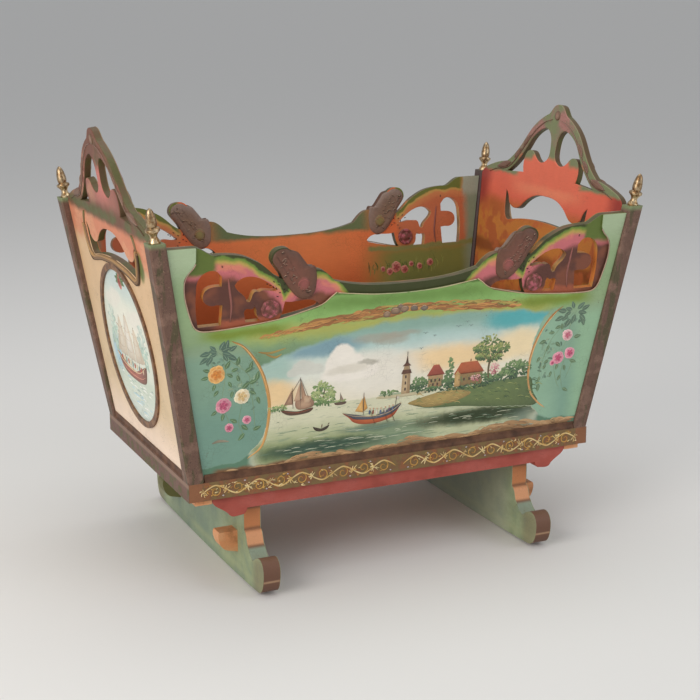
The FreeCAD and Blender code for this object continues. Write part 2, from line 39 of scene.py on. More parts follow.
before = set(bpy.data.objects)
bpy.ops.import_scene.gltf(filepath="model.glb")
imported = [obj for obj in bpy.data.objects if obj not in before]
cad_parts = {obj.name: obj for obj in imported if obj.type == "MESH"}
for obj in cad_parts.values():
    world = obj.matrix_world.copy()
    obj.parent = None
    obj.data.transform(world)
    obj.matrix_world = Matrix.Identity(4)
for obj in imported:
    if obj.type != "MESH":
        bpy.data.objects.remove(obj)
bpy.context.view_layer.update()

MM = 0.001
RAIL_LOW, RAIL_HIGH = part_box("base_rail_front")
END_RAIL_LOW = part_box("base_rail_left")[0]
POST_LOW, POST_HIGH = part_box("front_left_post")
BASE_TOP = RAIL_HIGH.z / MM
SIDE_SLOPE = (RAIL_LOW.y - POST_LOW.y) / (POST_HIGH.z - RAIL_HIGH.z)
FOOT_INSET = 6
SIDE_FOOT = -RAIL_LOW.y / MM - FOOT_INSET
END_FOOT = -END_RAIL_LOW.x / MM - FOOT_INSET
END_SLOPE = 0.14909
SIDE_THICK = 18
END_THICK = 14
GROUND_DEPTH = 4
THICK_PAINT = 0.0005
BUMP_REACH = 6
BRISTLE_DEPTH = 0.0003
DULL_GLOSS = 0.22
TINY = 1e-9
SAME_PLACE = 1e-7
UV_PER_MM = 0.01
SEEDS = {"front": 11, "back": 23, "clubs": 40, "bevel": 50, "inner_roses": 61, "scroll_band": 71, "ship": 81,
         "handhold": 82, "crest": 83}
PAINT_LAYER = "Paint"
STROKE_LAYER = "Stroke"


# ---------------------------------------------------------------- board faces
class BoardFace:
    """One painted face of a leaning board. It turns (along, height, lift) in millimetres, along and height on
    the face as a person in front of it sees them, into places in metres."""

    def __init__(self, outward, foot, slope, depth=0.0, inner=False):
        angle = atan(slope)
        self.outward = np.array([*outward, 0.0])
        self.out = foot - depth / cos(angle)
        self.slope = slope
        normal = self.outward * cos(angle) - np.array([0, 0, sin(angle)])
        self.normal = -normal if inner else normal
        seen_right = np.cross([0, 0, 1.0], self.outward)
        self.right = -seen_right if inner else seen_right

    def place(self, along, height, lift):
        """Foot of the face, plus along times its right-hand side, plus height, plus lift times its normal."""
        out = self.out + self.slope * (height - BASE_TOP)
        spot = out[..., None] * self.outward + along[..., None] * self.right + lift[..., None] * self.normal
        spot[..., 2] += height
        return spot * MM


FRONT = BoardFace((0, -1), SIDE_FOOT, SIDE_SLOPE)
BACK = BoardFace((0, 1), SIDE_FOOT, SIDE_SLOPE)
FRONT_GROUND = BoardFace((0, -1), SIDE_FOOT, SIDE_SLOPE, GROUND_DEPTH)
BACK_GROUND = BoardFace((0, 1), SIDE_FOOT, SIDE_SLOPE, GROUND_DEPTH)
FRONT_INSIDE = BoardFace((0, -1), SIDE_FOOT, SIDE_SLOPE, SIDE_THICK, inner=True)
BACK_INSIDE = BoardFace((0, 1), SIDE_FOOT, SIDE_SLOPE, SIDE_THICK, inner=True)
LEFT = BoardFace((-1, 0), END_FOOT, END_SLOPE)
RIGHT = BoardFace((1, 0), END_FOOT, END_SLOPE)
LEFT_INSIDE = BoardFace((-1, 0), END_FOOT, END_SLOPE, END_THICK, inner=True)
RIGHT_INSIDE = BoardFace((1, 0), END_FOOT, END_SLOPE, END_THICK, inner=True)
RAIL_FRONT = BoardFace((0, -1), -RAIL_LOW.y / MM, 0)
RAIL_BACK = BoardFace((0, 1), -RAIL_LOW.y / MM, 0)


# ---------------------------------------------------------------- colours
def tint(code):
    """A linear colour from a six-digit code, by the usual sRGB curve."""
    parts = [int(code[place:place + 2], 16) / 255 for place in (0, 2, 4)]
    return tuple(part / 12.92 if part < 0.04045 else ((part + 0.055) / 1.055) ** 2.4 for part in parts)


def mixed(colour):
    """A colour that is given as a code or as its three linear parts, as an array of those parts."""
    return np.array(tint(colour) if isinstance(colour, str) else colour)


# ---------------------------------------------------------------- node bench
class Wire:
    """The output of a node, so that sums with it read as arithmetic."""

    def __init__(self, bench, socket):
        self.bench = bench
        self.socket = socket

    def __add__(self, other):
        return self.bench.math("ADD", self, other)

    def __sub__(self, other):
        return self.bench.math("SUBTRACT", self, other)

    def __rsub__(self, other):
        return self.bench.math("SUBTRACT", other, self)

    def __mul__(self, other):
        return self.bench.math("MULTIPLY", self, other)

    def __truediv__(self, other):
        return self.bench.math("DIVIDE", self, other)

    def __abs__(self):
        return self.bench.math("ABSOLUTE", self)

    def power(self, other):
        return self.bench.math("POWER", self, other)

    def lower(self, other):
        return self.bench.math("MINIMUM", self, other)

    def higher(self, other):
        return self.bench.math("MAXIMUM", self, other)

    __radd__ = __add__
    __rmul__ = __mul__


class Bench:
    """Lays out the nodes of one material or one shader group."""

    def __init__(self, tree):
        self.tree = tree

    def feed(self, socket, value):
        if isinstance(value, Wire):
            self.tree.links.new(value.socket, socket)
        elif socket.type == "RGBA":
            socket.default_value = (*value[:3], 1)
        else:
            socket.default_value = value

    def node(self, kind, feeds=(), output=0, **settings):
        made = self.tree.nodes.new(kind)
        for name, value in settings.items():
            setattr(made, name, value)
        for name, value in dict(feeds).items():
            self.feed(made.inputs[name], value)
        return Wire(self, made.outputs[output])

    def math(self, operation, first, second=0.0):
        return self.node("ShaderNodeMath", {0: first, 1: second}, operation=operation)

    def smooth(self, value, low, high):
        """A soft step that goes from 0 at low to 1 at high."""
        ends = {1: low, 2: high, 3: 0.0, 4: 1.0} if low < high else {1: high, 2: low, 3: 1.0, 4: 0.0}
        return self.node("ShaderNodeMapRange", {0: value, **ends}, interpolation_type="SMOOTHSTEP")

    def mix(self, mask, first, second):
        return self.node("ShaderNodeMix", {0: mask, 6: first, 7: second}, output=2, data_type="RGBA")

    def multiply(self, colour, factor):
        """The colour times a value."""
        return self.node("ShaderNodeVectorMath", {0: colour, "Scale": factor}, operation="SCALE")

    def place(self):
        """Object coordinates in millimetres, as a vector and its three parts."""
        raw = self.node("ShaderNodeTexCoord", output="Object")
        spot = self.node("ShaderNodeVectorMath", {0: raw, "Scale": 1 / MM}, operation="SCALE")
        split = self.tree.nodes.new("ShaderNodeSeparateXYZ")
        self.tree.links.new(spot.socket, split.inputs[0])
        return spot, [Wire(self, output) for output in split.outputs]

    def join(self, x, y, z):
        return self.node("ShaderNodeCombineXYZ", {0: x, 1: y, 2: z})

    def noise(self, vector, grain, detail=3.0, rough=0.55, warp=0.0, output=0):
        """Noise whose features are about grain millimetres across."""
        feeds = {"Vector": vector, "Scale": 1.0 / grain, "Detail": detail, "Roughness": rough,
                 "Distortion": warp}
        return self.node("ShaderNodeTexNoise", feeds, output=output)

    def group(self, name, feeds, output=0):
        made = self.tree.nodes.new("ShaderNodeGroup")
        made.node_tree = bpy.data.node_groups[name]
        for key, value in feeds.items():
            self.feed(made.inputs[key], value)
        return Wire(self, made.outputs[output])


def new_group(name, inputs, outputs):
    """An empty shader group with its sockets, its bench and its input wires."""
    tree = bpy.data.node_groups.new(name, "ShaderNodeTree")
    for label, kind, value in inputs:
        socket = tree.interface.new_socket(name=label, in_out="INPUT", socket_type=kind)
        if value is not None:
            socket.default_value = value
    for label, kind in outputs:
        tree.interface.new_socket(name=label, in_out="OUTPUT", socket_type=kind)
    bench = Bench(tree)
    entry = tree.nodes.new("NodeGroupInput")
    leave = tree.nodes.new("NodeGroupOutput")
    wires = {label: Wire(bench, entry.outputs[label]) for label, kind, value in inputs}
    return bench, wires, leave


VECTOR = "NodeSocketVector"
FLOAT = "NodeSocketFloat"


def brush_group():
    """Brush marks: broad mottling with fine streaks along one direction, and the height of the streaks."""
    bench, wires, leave = new_group(
        "Brush marks",
        [("Place", VECTOR, None), ("Streak", VECTOR, (0.2, 1.0, 1.0)), ("Amount", FLOAT, 0.16)],
        [("Factor", FLOAT), ("Height", FLOAT)])
    broad = bench.noise(wires["Place"], 46.0, 4.0, 0.6)
    stretched = bench.node("ShaderNodeVectorMath", {0: wires["Place"], 1: wires["Streak"]},
                           operation="MULTIPLY")
    streaks = bench.noise(stretched, 2.6, 3.0, 0.6)
    both = broad * 0.6 + streaks * 0.4 - 0.5
    bench.feed(leave.inputs["Factor"], both * wires["Amount"] * 2.6 + 1.0)
    bench.feed(leave.inputs["Height"], streaks)


def wear_group():
    """Age in old paint: small chips gathered in patches, and a fine net of cracks."""
    bench, wires, leave = new_group(
        "Old paint",
        [("Place", VECTOR, None), ("Chips", FLOAT, 0.5), ("Cracks", FLOAT, 0.5)],
        [("Chip", FLOAT), ("Crack", FLOAT)])
    patches = bench.noise(wires["Place"], 60.0, 2.0)
    flecks = bench.noise(wires["Place"], 3.4, 4.0, 0.65)
    chips = bench.smooth(flecks + (patches - 0.5) * 0.5, 0.70, 0.76) * wires["Chips"]
    bench.feed(leave.inputs["Chip"], chips)
    cells = bench.node("ShaderNodeTexVoronoi", {"Vector": wires["Place"], "Scale": 0.11, "Randomness": 1.0},
                       feature="DISTANCE_TO_EDGE")
    cracks = bench.smooth(cells, 0.035, 0.008) * bench.smooth(patches, 0.48, 0.62) * wires["Cracks"]
    bench.feed(leave.inputs["Crack"], cracks)


def grain_group():
    """Wood grain: long fibres with slow bands, as a mask and a height."""
    bench, wires, leave = new_group(
        "Wood grain",
        [("Place", VECTOR, None), ("Along", VECTOR, (0.03, 1.0, 1.0))],
        [("Mask", FLOAT), ("Height", FLOAT)])
    stretched = bench.node("ShaderNodeVectorMath", {0: wires["Place"], 1: wires["Along"]},
                           operation="MULTIPLY")
    fibres = bench.noise(stretched, 1.6, 4.0, 0.65)
    bands = bench.noise(stretched, 9.0, 2.0, 0.5, 1.2)
    bench.feed(leave.inputs["Mask"], fibres * 0.5 + bands * 0.5)
    bench.feed(leave.inputs["Height"], fibres)


def dust_group():
    """Dust in cloudy patches: most on faces that look up, a little elsewhere."""
    bench, wires, leave = new_group(
        "Dust", [("Place", VECTOR, None), ("Amount", FLOAT, 0.2)], [("Mask", FLOAT)])
    normal = bench.tree.nodes.new("ShaderNodeNewGeometry")
    split = bench.tree.nodes.new("ShaderNodeSeparateXYZ")
    bench.tree.links.new(normal.outputs["Normal"], split.inputs[0])
    up = bench.smooth(Wire(bench, split.outputs[2]), 0.55, 1.0)
    cloudy = bench.noise(wires["Place"], 30.0, 4.0)
    bench.feed(leave.inputs["Mask"], (up * 0.8 + 0.2) * cloudy * wires["Amount"])


class Paint:
    """A material built up coat by coat, as a painter would."""

    def __init__(self, name, ground, roughness=0.46, wobble=9.0):
        self.material = bpy.data.materials.new(name)
        self.material.use_nodes = True
        tree = self.material.node_tree
        self.shader = tree.nodes["Principled BSDF"]
        self.bench = Bench(tree)
        self.spot, (self.x, self.y, self.z) = self.bench.place()
        self.roughness = roughness
        self.colour = tint(ground)
        self.heights = []
        self.wobble = wobble

    def coat(self, code, mask):
        """A coat of the colour with this code where the mask is 1."""
        self.colour = self.bench.mix(mask, self.colour, tint(code))

    def warp(self, along, grain=34.0):
        """Set along, height and reach, the distance from the middle, shaken a little by noise, for soft
        edges."""
        shake = self.bench.noise(self.spot, grain, 4.0, 0.6, output=1)
        split = self.bench.tree.nodes.new("ShaderNodeSeparateXYZ")
        self.bench.tree.links.new(shake.socket, split.inputs[0])
        self.along = along + (Wire(self.bench, split.outputs[0]) - 0.5) * self.wobble * 2
        self.height = self.z + (Wire(self.bench, split.outputs[2]) - 0.5) * self.wobble * 2
        self.reach = abs(self.along)

    def over(self, low, high):
        """A soft step along the board, from low to high."""
        return self.bench.smooth(self.along, low, high)

    def out(self, low, high):
        """A soft step outwards from the board's middle, on both sides."""
        return self.bench.smooth(self.reach, low, high)

    def up(self, low, high):
        """A soft step up the board."""
        return self.bench.smooth(self.height, low, high)

    def rise(self, low, high, soft):
        """A soft band of heights."""
        return self.between(self.height, low, high, soft)

    def ring(self, low, high, soft):
        """A soft band of distances from the board's middle."""
        return self.between(self.reach, low, high, soft)

    def blob(self, along, height, wide, tall, soft=0.45):
        """A soft oval centred on a place, as a mask."""
        across = (self.along - along) / wide
        upward = (self.height - height) / tall
        reach = across * across + upward * upward
        return self.bench.smooth(reach, 1.0 + soft, max(0.0, 1.0 - soft))

    def between(self, value, low, high, soft):
        """A soft band from low to high."""
        above = self.bench.smooth(value, low - soft, low + soft)
        return above * self.bench.smooth(value, high + soft, high - soft)

    def age(self, streak=(0.25, 1.0, 1.0), amount=0.16, chips=0.5, cracks=0.4, under="6b4a34", dust=0.15):
        """Brush marks, chips down to the wood, fine cracks and dust over all the coats."""
        bench = self.bench
        marks = {"Place": self.spot, "Streak": streak, "Amount": amount}
        self.colour = bench.multiply(self.colour, bench.group("Brush marks", marks))
        wear = {"Place": self.spot, "Chips": chips, "Cracks": cracks}
        self.coat(under, bench.group("Old paint", wear))
        crack = bench.group("Old paint", wear, output=1)
        self.coat("3a2b20", crack * 0.6)
        self.coat("b6a68c", bench.group("Dust", {"Place": self.spot, "Amount": dust}))
        self.heights.append(bench.group("Brush marks", marks, output=1) * 0.4 - crack * 0.5)

    def finish(self, bump=0.12):
        """Join the coats, the roughness and the height to the shader. A height of 1 stands bump times
        BUMP_REACH millimetres high."""
        bench = self.bench
        bench.feed(self.shader.inputs["Base Color"], self.colour)
        gloss = bench.noise(self.spot, 22.0, 3.0)
        bench.feed(self.shader.inputs["Roughness"], gloss * 0.22 + (self.roughness - 0.11))
        self.shader.inputs["Specular IOR Level"].default_value = DULL_GLOSS
        height = self.heights[0]
        for more in self.heights[1:]:
            height = height + more
        depth = bump * MM * BUMP_REACH
        relief = bench.node("ShaderNodeBump", {"Height": height, "Strength": 1.0, "Distance": depth})
        bench.feed(self.shader.inputs["Normal"], relief)
        return self.material


# ---------------------------------------------------------------- raised paint, stroke by stroke
class Brushwork:
    """Strokes and filled shapes of thick paint on one board face, gathered into one mesh."""

    def __init__(self, face, seed, relief=1.0):
        self.face = face
        self.relief = relief
        self.dice = np.random.default_rng(seed)
        self.places, self.faces, self.colours, self.coordinates = [], [], [], []
        self.count = 0

    def draw(self, low, high):
        """A number between low and high, from the seeded dice."""
        return self.dice.uniform(low, high)

    def pick(self, choices):
        """One of the choices, from the seeded dice."""
        return choices[self.dice.integers(0, len(choices))]

    def keep(self, along, height, lift, colour, u, v, quads):
        """Add a grid of points, with their colours and brush coordinates, to what the mesh is made of."""
        self.places.append(self.face.place(along.ravel(), height.ravel(), lift.ravel() * self.relief))
        self.colours.append(np.clip(colour.reshape(-1, 3), 0, 1))
        self.coordinates.append(np.stack([u.ravel(), v.ravel()], 1))
        self.faces.append(quads + self.count)
        self.count += along.size

    def stroke(self, points, width, colour, end=None, taper=(0.0, 0.0), lift=0.35, steps=12):
        """A brush stroke along a smooth line through the points. Its width goes along it as the root of a
        sine, but not under the taper shares towards its two ends. Across, it is domed as one less the
        square of the distance from its middle, with its edges sunk into the board."""
        knots = np.array(points, float)
        line = smooth_line(knots, steps)
        t = np.linspace(0, 1, len(line))
        swell = np.sqrt(np.clip(np.sin(np.pi * np.clip(t, 0.015, 0.985)), 0, 1))
        share = np.maximum(swell, np.interp(t, [0, 0.5, 1], [taper[0], 0.0, taper[1]]))
        share[0] = share[-1] = 0
        direction = np.gradient(line, axis=0)
        direction /= np.linalg.norm(direction, axis=1)[:, None] + TINY
        across = np.stack([-direction[:, 1], direction[:, 0]], 1)
        side = np.array([1.0, 0.55, 0.0, -0.55, -1.0, 0.0])
        rise = np.array([-0.3, 0.7, 1.0, 0.7, -0.3, -0.4])
        spread = (share * width / 2)[:, None] * side
        along = line[:, :1] + across[:, :1] * spread
        height = line[:, 1:] + across[:, 1:] * spread
        lifts = np.broadcast_to(rise * lift, along.shape)
        first = mixed(colour)
        last = first if end is None else mixed(end)
        shade = first + (last - first) * t[:, None]
        # Painted highlight on each stroke's crown and painted shade at its sunk edges: the colour is scaled
        # by the dome's rise.
        tone = 1 + 0.16 * (rise - 0.6)
        colours = shade[:, None, :] * tone[None, :, None]
        length = np.cumsum(np.r_[0, np.linalg.norm(np.diff(line, axis=0), axis=1)])
        u = np.broadcast_to(length[:, None], along.shape)
        v = np.broadcast_to(side * width / 2, along.shape)
        self.keep(along, height, lifts, colours, u, v, ring_quads(len(line), len(side)))

    def shape(self, outline, colour, rim=None, lift=0.35, smooth=True, centre=None, shade=0.0):
        """A filled shape: every ring is r times the outline, about its centre. The rim is sunk into the
        board, the sides rise steeply and the top is nearly flat. The colour goes from the middle out to
        rim, and gets lighter upwards by shade."""
        knots = np.array(outline, float)
        edge = smooth_line(np.vstack([knots, knots[:1]]), 5, True)[:-1] if smooth else corner_line(knots, 6)
        following = np.roll(edge, -1, 0)
        if (edge[:, 0] * following[:, 1] - edge[:, 1] * following[:, 0]).sum() < 0:
            edge = edge[::-1]
        middle = np.array(centre) if centre is not None else edge.mean(0)
        r = np.array([0.0, 1.0, 0.93, 0.6, 0.25, 0.0])
        rise = np.array([-0.5, -0.4, 0.7, 0.95, 1.0, 1.0])
        rings = middle + r[:, None, None] * (edge - middle)
        along, height = rings[..., 0], rings[..., 1]
        lifts = np.broadcast_to((rise * lift)[:, None], along.shape)
        first = mixed(colour)
        last = first if rim is None else mixed(rim)
        body = first + (last - first) * (r[:, None, None] ** 1.5)
        span = np.ptp(edge[:, 1]) + 1e-6
        up = (height - edge[:, 1].min()) / span - 0.5
        colours = np.broadcast_to(body, (*along.shape, 3)) * (1 + shade * up[..., None])
        self.keep(along, height, lifts, colours, along, height, ring_quads(len(r), len(edge)))

    def finish(self, name, material, slot):
        """Put everything gathered so far into one object with the given material. The slot is not used."""
        places = np.concatenate(self.places)
        quads = np.concatenate(self.faces)
        mesh = bpy.data.meshes.new(name)
        mesh.from_pydata(places, [], quads.tolist())
        paint = mesh.color_attributes.new(PAINT_LAYER, "FLOAT_COLOR", "POINT")
        colours = np.concatenate(self.colours)
        paint.data.foreach_set("color", np.c_[colours, np.ones(len(colours))].ravel())
        layer = mesh.uv_layers.new(name=STROKE_LAYER)
        coordinates = np.concatenate(self.coordinates) * UV_PER_MM
        layer.data.foreach_set("uv", coordinates[quads.ravel()].ravel())
        close_poles(mesh)
        mesh.materials.append(material)
        mesh.shade_smooth()
        made = bpy.data.objects.new(name, mesh)
        bpy.context.scene.collection.objects.link(made)
        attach(made, "root")


def close_poles(mesh):
    """Join the points that lie on each other, such as those of a ring that has shrunk to a pole."""
    work = bmesh.new()
    work.from_mesh(mesh)
    bmesh.ops.remove_doubles(work, verts=work.verts, dist=SAME_PLACE)
    work.to_mesh(mesh)
    work.free()


def smooth_line(knots, steps, closed=False):
    """Points on a smooth line through the knots: each run is the cubic whose slope at a knot is half the step
    between its two neighbours."""
    if len(knots) == 2:
        return knots[0] + (knots[1] - knots[0]) * np.linspace(0, 1, steps)[:, None]
    if closed:
        padded = np.vstack([knots[-2], knots, knots[1]])
    else:
        padded = np.vstack([2 * knots[0] - knots[1], knots, 2 * knots[-1] - knots[-2]])
    per_run = max(3, round(steps * 2 / (len(knots) - 1))) if not closed else steps
    t = np.linspace(0, 1, per_run, endpoint=False)[None, :, None]
    a, b, c, d = (padded[i:len(padded) - 3 + i, None, :] for i in range(4))
    square, cube = 2 * a - 5 * b + 4 * c - d, 3 * b - a - 3 * c + d
    runs = 0.5 * (2 * b + (c - a) * t + square * t ** 2 + cube * t ** 3)
    return np.vstack([runs.reshape(-1, 2), knots[-1:]])


def corner_line(knots, steps):
    """Points along the straight sides of a closed outline."""
    following = np.roll(knots, -1, 0)
    t = np.linspace(0, 1, steps, endpoint=False)[None, :, None]
    return (knots[:, None] + (following - knots)[:, None] * t).reshape(-1, 2)


def ring_quads(rows, columns):
    """Quads between the rows of a grid whose columns close into a ring, facing outwards."""
    row, column = np.meshgrid(np.arange(rows - 1), np.arange(columns), indexing="ij")
    following = (column + 1) % columns
    corners = [row * columns + column, row * columns + following,
               (row + 1) * columns + following, (row + 1) * columns + column]
    return np.stack(corners, -1).reshape(-1, 4)


def raised_paint(name, roughness=0.42, metallic=0.0, amount=0.2):
    """Thick paint whose colour was mixed on the brush, with bristle marks along each stroke."""
    material = bpy.data.materials.new(name)
    material.use_nodes = True
    bench = Bench(material.node_tree)
    shader = material.node_tree.nodes["Principled BSDF"]
    colour = bench.node("ShaderNodeAttribute", attribute_name=PAINT_LAYER)
    strokes = bench.node("ShaderNodeUVMap", uv_map=STROKE_LAYER)
    stretched = bench.node("ShaderNodeVectorMath", {0: strokes, 1: (14.0, 160.0, 1.0)}, operation="MULTIPLY")
    bristles = bench.node("ShaderNodeTexNoise", {"Vector": stretched, "Scale": 1.0, "Detail": 3.0})
    spot = bench.place()[0]
    mottle = bench.noise(spot, 7.0, 3.0)
    factor = (bristles * 0.5 + mottle * 0.5 - 0.5) * amount * 3.4 + 1.0
    painted = bench.multiply(colour, factor)
    wear = {"Place": spot, "Chips": 0.25, "Cracks": 0.5}
    painted = bench.mix(bench.group("Old paint", wear), painted, tint("6f5138"))
    bench.feed(shader.inputs["Base Color"], painted)
    bench.feed(shader.inputs["Roughness"], mottle * 0.25 + (roughness - 0.12))
    shader.inputs["Metallic"].default_value = metallic
    relief = bench.node("ShaderNodeBump", {"Height": bristles, "Strength": 1.0, "Distance": BRISTLE_DEPTH})
    bench.feed(shader.inputs["Normal"], relief)
    return material


# ---------------------------------------------------------------- painter's motifs
INK = "3a2f26"


def near(work, colour, spread=0.12):
    """A colour a little lighter or darker than the one asked for."""
    return tuple(mixed(colour) * (1 + work.draw(-spread, spread)))


def leaf(work, base, tip, width, colour="5c7a55", light="9db48d", lift=0.35):
    """A pointed oval leaf from base to tip, with a light middle vein."""
    base, tip = np.array(base, float), np.array(tip, float)
    run = tip - base
    side = np.array([-run[1], run[0]]) / (np.linalg.norm(run) + TINY) * width / 2
    outline = [base, base + run * 0.3 + side, base + run * 0.65 + side * 0.85, tip,
               base + run * 0.65 - side * 0.85, base + run * 0.3 - side]
    work.shape(outline, near(work, colour), near(work, colour), lift)
    work.stroke([base, base + run * 0.5 + side * 0.1, base + run * 0.92], 1.1, light, lift=lift + 0.3,
                steps=6)


def leaves(work, stems, size, colour="5c7a55", light="9db48d"):
    """A leaf at each place, pointing the way its angle in degrees says."""
    for along, height, angle in stems:
        reach = size * work.draw(0.85, 1.2)
        turn = radians(angle)
        tip = (along + reach * cos(turn), height + reach * sin(turn))
        leaf(work, (along, height), tip, reach * 0.48, colour, light)


def petal(work, centre, angle, reach, wide, colour, rim, lift):
    """A broad rounded petal that leaves the centre at an angle."""
    turn = radians(angle)
    out, across = np.array([cos(turn), sin(turn)]), np.array([-sin(turn), cos(turn)])
    centre = np.array(centre, float)
    outline = [centre + out * reach * 0.1, centre + out * reach * 0.45 + across * wide * 0.5,
               centre + out * reach * 0.9 + across * wide * 0.42, centre + out * reach,
               centre + out * reach * 0.9 - across * wide * 0.42,
               centre + out * reach * 0.45 - across * wide * 0.5]
    work.shape(outline, colour, rim, lift)


def rose(work, centre, radius, deep, middle, light):
    """A full rose: a wheel of pale outer petals, a turned inner wheel and a deep curled heart."""
    start = work.draw(0, 60)
    for ring, (count, reach, share) in enumerate(((7, 1.0, 0.85), (5, 0.72, 0.7), (4, 0.46, 0.5))):
        for number in range(count):
            angle = start + ring * 25 + number * 360 / count
            rim = near(work, light if ring < 2 else middle, 0.15)
            inner = near(work, middle if ring == 0 else deep, 0.15)
            petal(work, centre, angle, radius * reach * work.draw(0.9, 1.05), radius * share,
                  inner, rim, 0.4 + 0.35 * ring)
    curl = []
    for step in range(9):
        turn = radians(start + step * 55)
        curl.append((centre[0] + radius * 0.03 * step * cos(turn),
                     centre[1] + radius * 0.03 * step * sin(turn)))
    work.stroke(curl, radius * 0.13, deep, middle, lift=1.5, steps=14)


def stem(work, points, width=1.2, colour="6f8460"):
    work.stroke(points, width, colour, "8aa07c", taper=(0.6, 0.1), lift=0.25, steps=12)


def dabs(work, centre, spread, size, colours, count, lift=0.4, flat=0.7):
    """Short curved dabs scattered over an oval, darker below and lighter above, as foliage is dabbed in."""
    for _ in range(count):
        turn, reach = work.draw(0, 2 * pi), sqrt(work.draw(0, 1))
        along = centre[0] + spread[0] * reach * cos(turn)
        height = centre[1] + spread[1] * reach * sin(turn)
        rise = 0.5 + 0.5 * reach * sin(turn) + work.draw(-0.25, 0.25)
        pick = min(len(colours) - 1, max(0, int(rise * len(colours))))
        angle = work.draw(-0.6, 0.6) + turn
        half = size * work.draw(0.6, 1.1) / 2
        dx, dz = half * cos(angle), half * sin(angle) * flat
        work.stroke([(along - dx, height - dz), (along + dz * 0.3, height + half * 0.3),
                     (along + dx, height + dz)], size * 0.55, near(work, colours[pick], 0.15),
                    lift=lift + 0.2 * rise, steps=4)


# ---------------------------------------------------------------- the side boards' painting
def scatter_leaves(work, clouds, count):
    """Small faint leaves scattered over clouds: ovals given by their middle and half sizes."""
    tones = ("6f8b78", "7f9a80", "93aa8c", "5f7a66")
    for number in range(count):
        along, height, wide, tall = clouds[number % len(clouds)]
        turn, share = work.draw(0, 2 * pi), sqrt(work.draw(0, 1))
        base = (along + wide * share * cos(turn), height + tall * share * sin(turn))
        angle, reach = work.draw(0, 2 * pi), work.draw(6, 12)
        tone = near(work, work.pick(tones))
        middle = (base[0] + reach * 0.5 * cos(angle), base[1] + reach * 0.5 * sin(angle) + 1)
        tip = (base[0] + reach * cos(angle), base[1] + reach * sin(angle))
        work.stroke([base, middle, tip], 4.2, tone, lift=0.25, steps=5)


def paint_left_flowers(work):
    """The spray in the left-hand panel: a leafy head, an orange, a white and a magenta rose, and buds."""
    for points in ([(-358, 452), (-330, 430), (-300, 402), (-284, 352)],
                   [(-350, 450), (-344, 410), (-350, 362)], [(-326, 420), (-314, 392), (-313, 372)],
                   [(-312, 352), (-317, 316), (-309, 294), (-322, 283)],
                   [(-300, 400), (-290, 340), (-286, 298)], [(-345, 345), (-336, 322), (-335, 312)],
                   [(-372, 440), (-366, 424), (-360, 412)]):
        stem(work, points)
    leaves(work, [(-360, 453, 172), (-360, 450, 200), (-362, 455, 140), (-355, 455, 60), (-352, 453, 18),
                  (-350, 450, -20), (-368, 446, 235), (-348, 447, -60), (-338, 452, 30), (-372, 452, 190),
                  (-344, 456, 75), (-340, 444, -30), (-376, 444, 215)], 17, "567060", "8ea68c")
    leaves(work, [(-372, 418, 160), (-374, 408, 190), (-344, 420, 60), (-333, 414, 20), (-322, 424, 80),
                  (-308, 410, 30), (-299, 416, 70), (-362, 394, 250), (-356, 382, 230), (-338, 396, 300),
                  (-330, 378, 260), (-318, 394, 110), (-300, 388, 20), (-298, 374, -30), (-286, 392, 80),
                  (-284, 362, -70), (-358, 344, 215), (-346, 338, 260), (-320, 318, 150), (-312, 312, -40),
                  (-290, 300, 20), (-306, 296, 230), (-330, 404, 150), (-312, 380, 40)], 15)
    scatter_leaves(work, ((-318, 410, 38, 34), (-296, 372, 14, 40), (-352, 432, 30, 16)), 46)
    magenta = ("a83f63", "cf6d88", "e8a9b4")
    for centre, radius, tones in (((-360, 411), 17, ("c9762f", "e09a4a", "efc27e")),
                                  ((-312, 366), 15, ("cfa766", "e2cfa2", "f0e6cc")),
                                  ((-346, 353), 15, magenta),
                                  ((-302, 321), 8.5, ("b0456a", "d37a92", "ecb4bd")),
                                  ((-335, 310), 8.5, magenta)):
        rose(work, centre, radius, *tones)
    work.stroke([(-366, 284), (-352, 287), (-334, 284)], 6, "7d7563", "9a927c", lift=0.25)


def paint_right_flowers(work):
    """The spray in the right-hand panel: a leafy head over a pale and two magenta roses, and thin stems."""
    for points in ([(362, 456), (352, 430), (346, 400), (334, 372)],
                   [(356, 452), (326, 420), (306, 392), (290, 340)],
                   [(346, 360), (340, 330), (348, 296)], [(312, 400), (296, 360), (290, 312)],
                   [(352, 360), (362, 350), (352, 320)], [(322, 350), (330, 320), (340, 300)]):
        stem(work, points, 1.1)
    leaves(work, [(352, 458, 165), (350, 454, 205), (356, 460, 110), (364, 458, 40), (366, 452, -10),
                  (370, 446, -45), (360, 448, 250), (344, 448, 220), (376, 440, -70), (340, 456, 170),
                  (374, 456, 25), (350, 440, 235), (334, 446, 200)], 18, "5d7562", "95aa8c")
    leaves(work, [(330, 428, 200), (318, 416, 180), (300, 402, 200), (308, 392, 250), (322, 396, -40),
                  (362, 402, 10), (334, 420, 100), (310, 362, 210), (290, 370, 240), (294, 330, 250),
                  (318, 338, 260), (346, 348, 280), (358, 356, -20), (340, 328, 240), (292, 316, 270),
                  (348, 300, -30), (300, 344, 70), (332, 352, 250)], 14, "66805f", "9fb592")
    scatter_leaves(work, ((318, 404, 26, 34), (300, 350, 12, 40), (352, 430, 24, 18)), 44)
    rose(work, (347, 408), 12, "c0566f", "dc93a0", "f3d4d0")
    for centre, radius in (((331, 364), 13), ((356, 371), 12), ((319, 355), 6)):
        rose(work, centre, radius, "b13a62", "d8708c", "efb2bd")


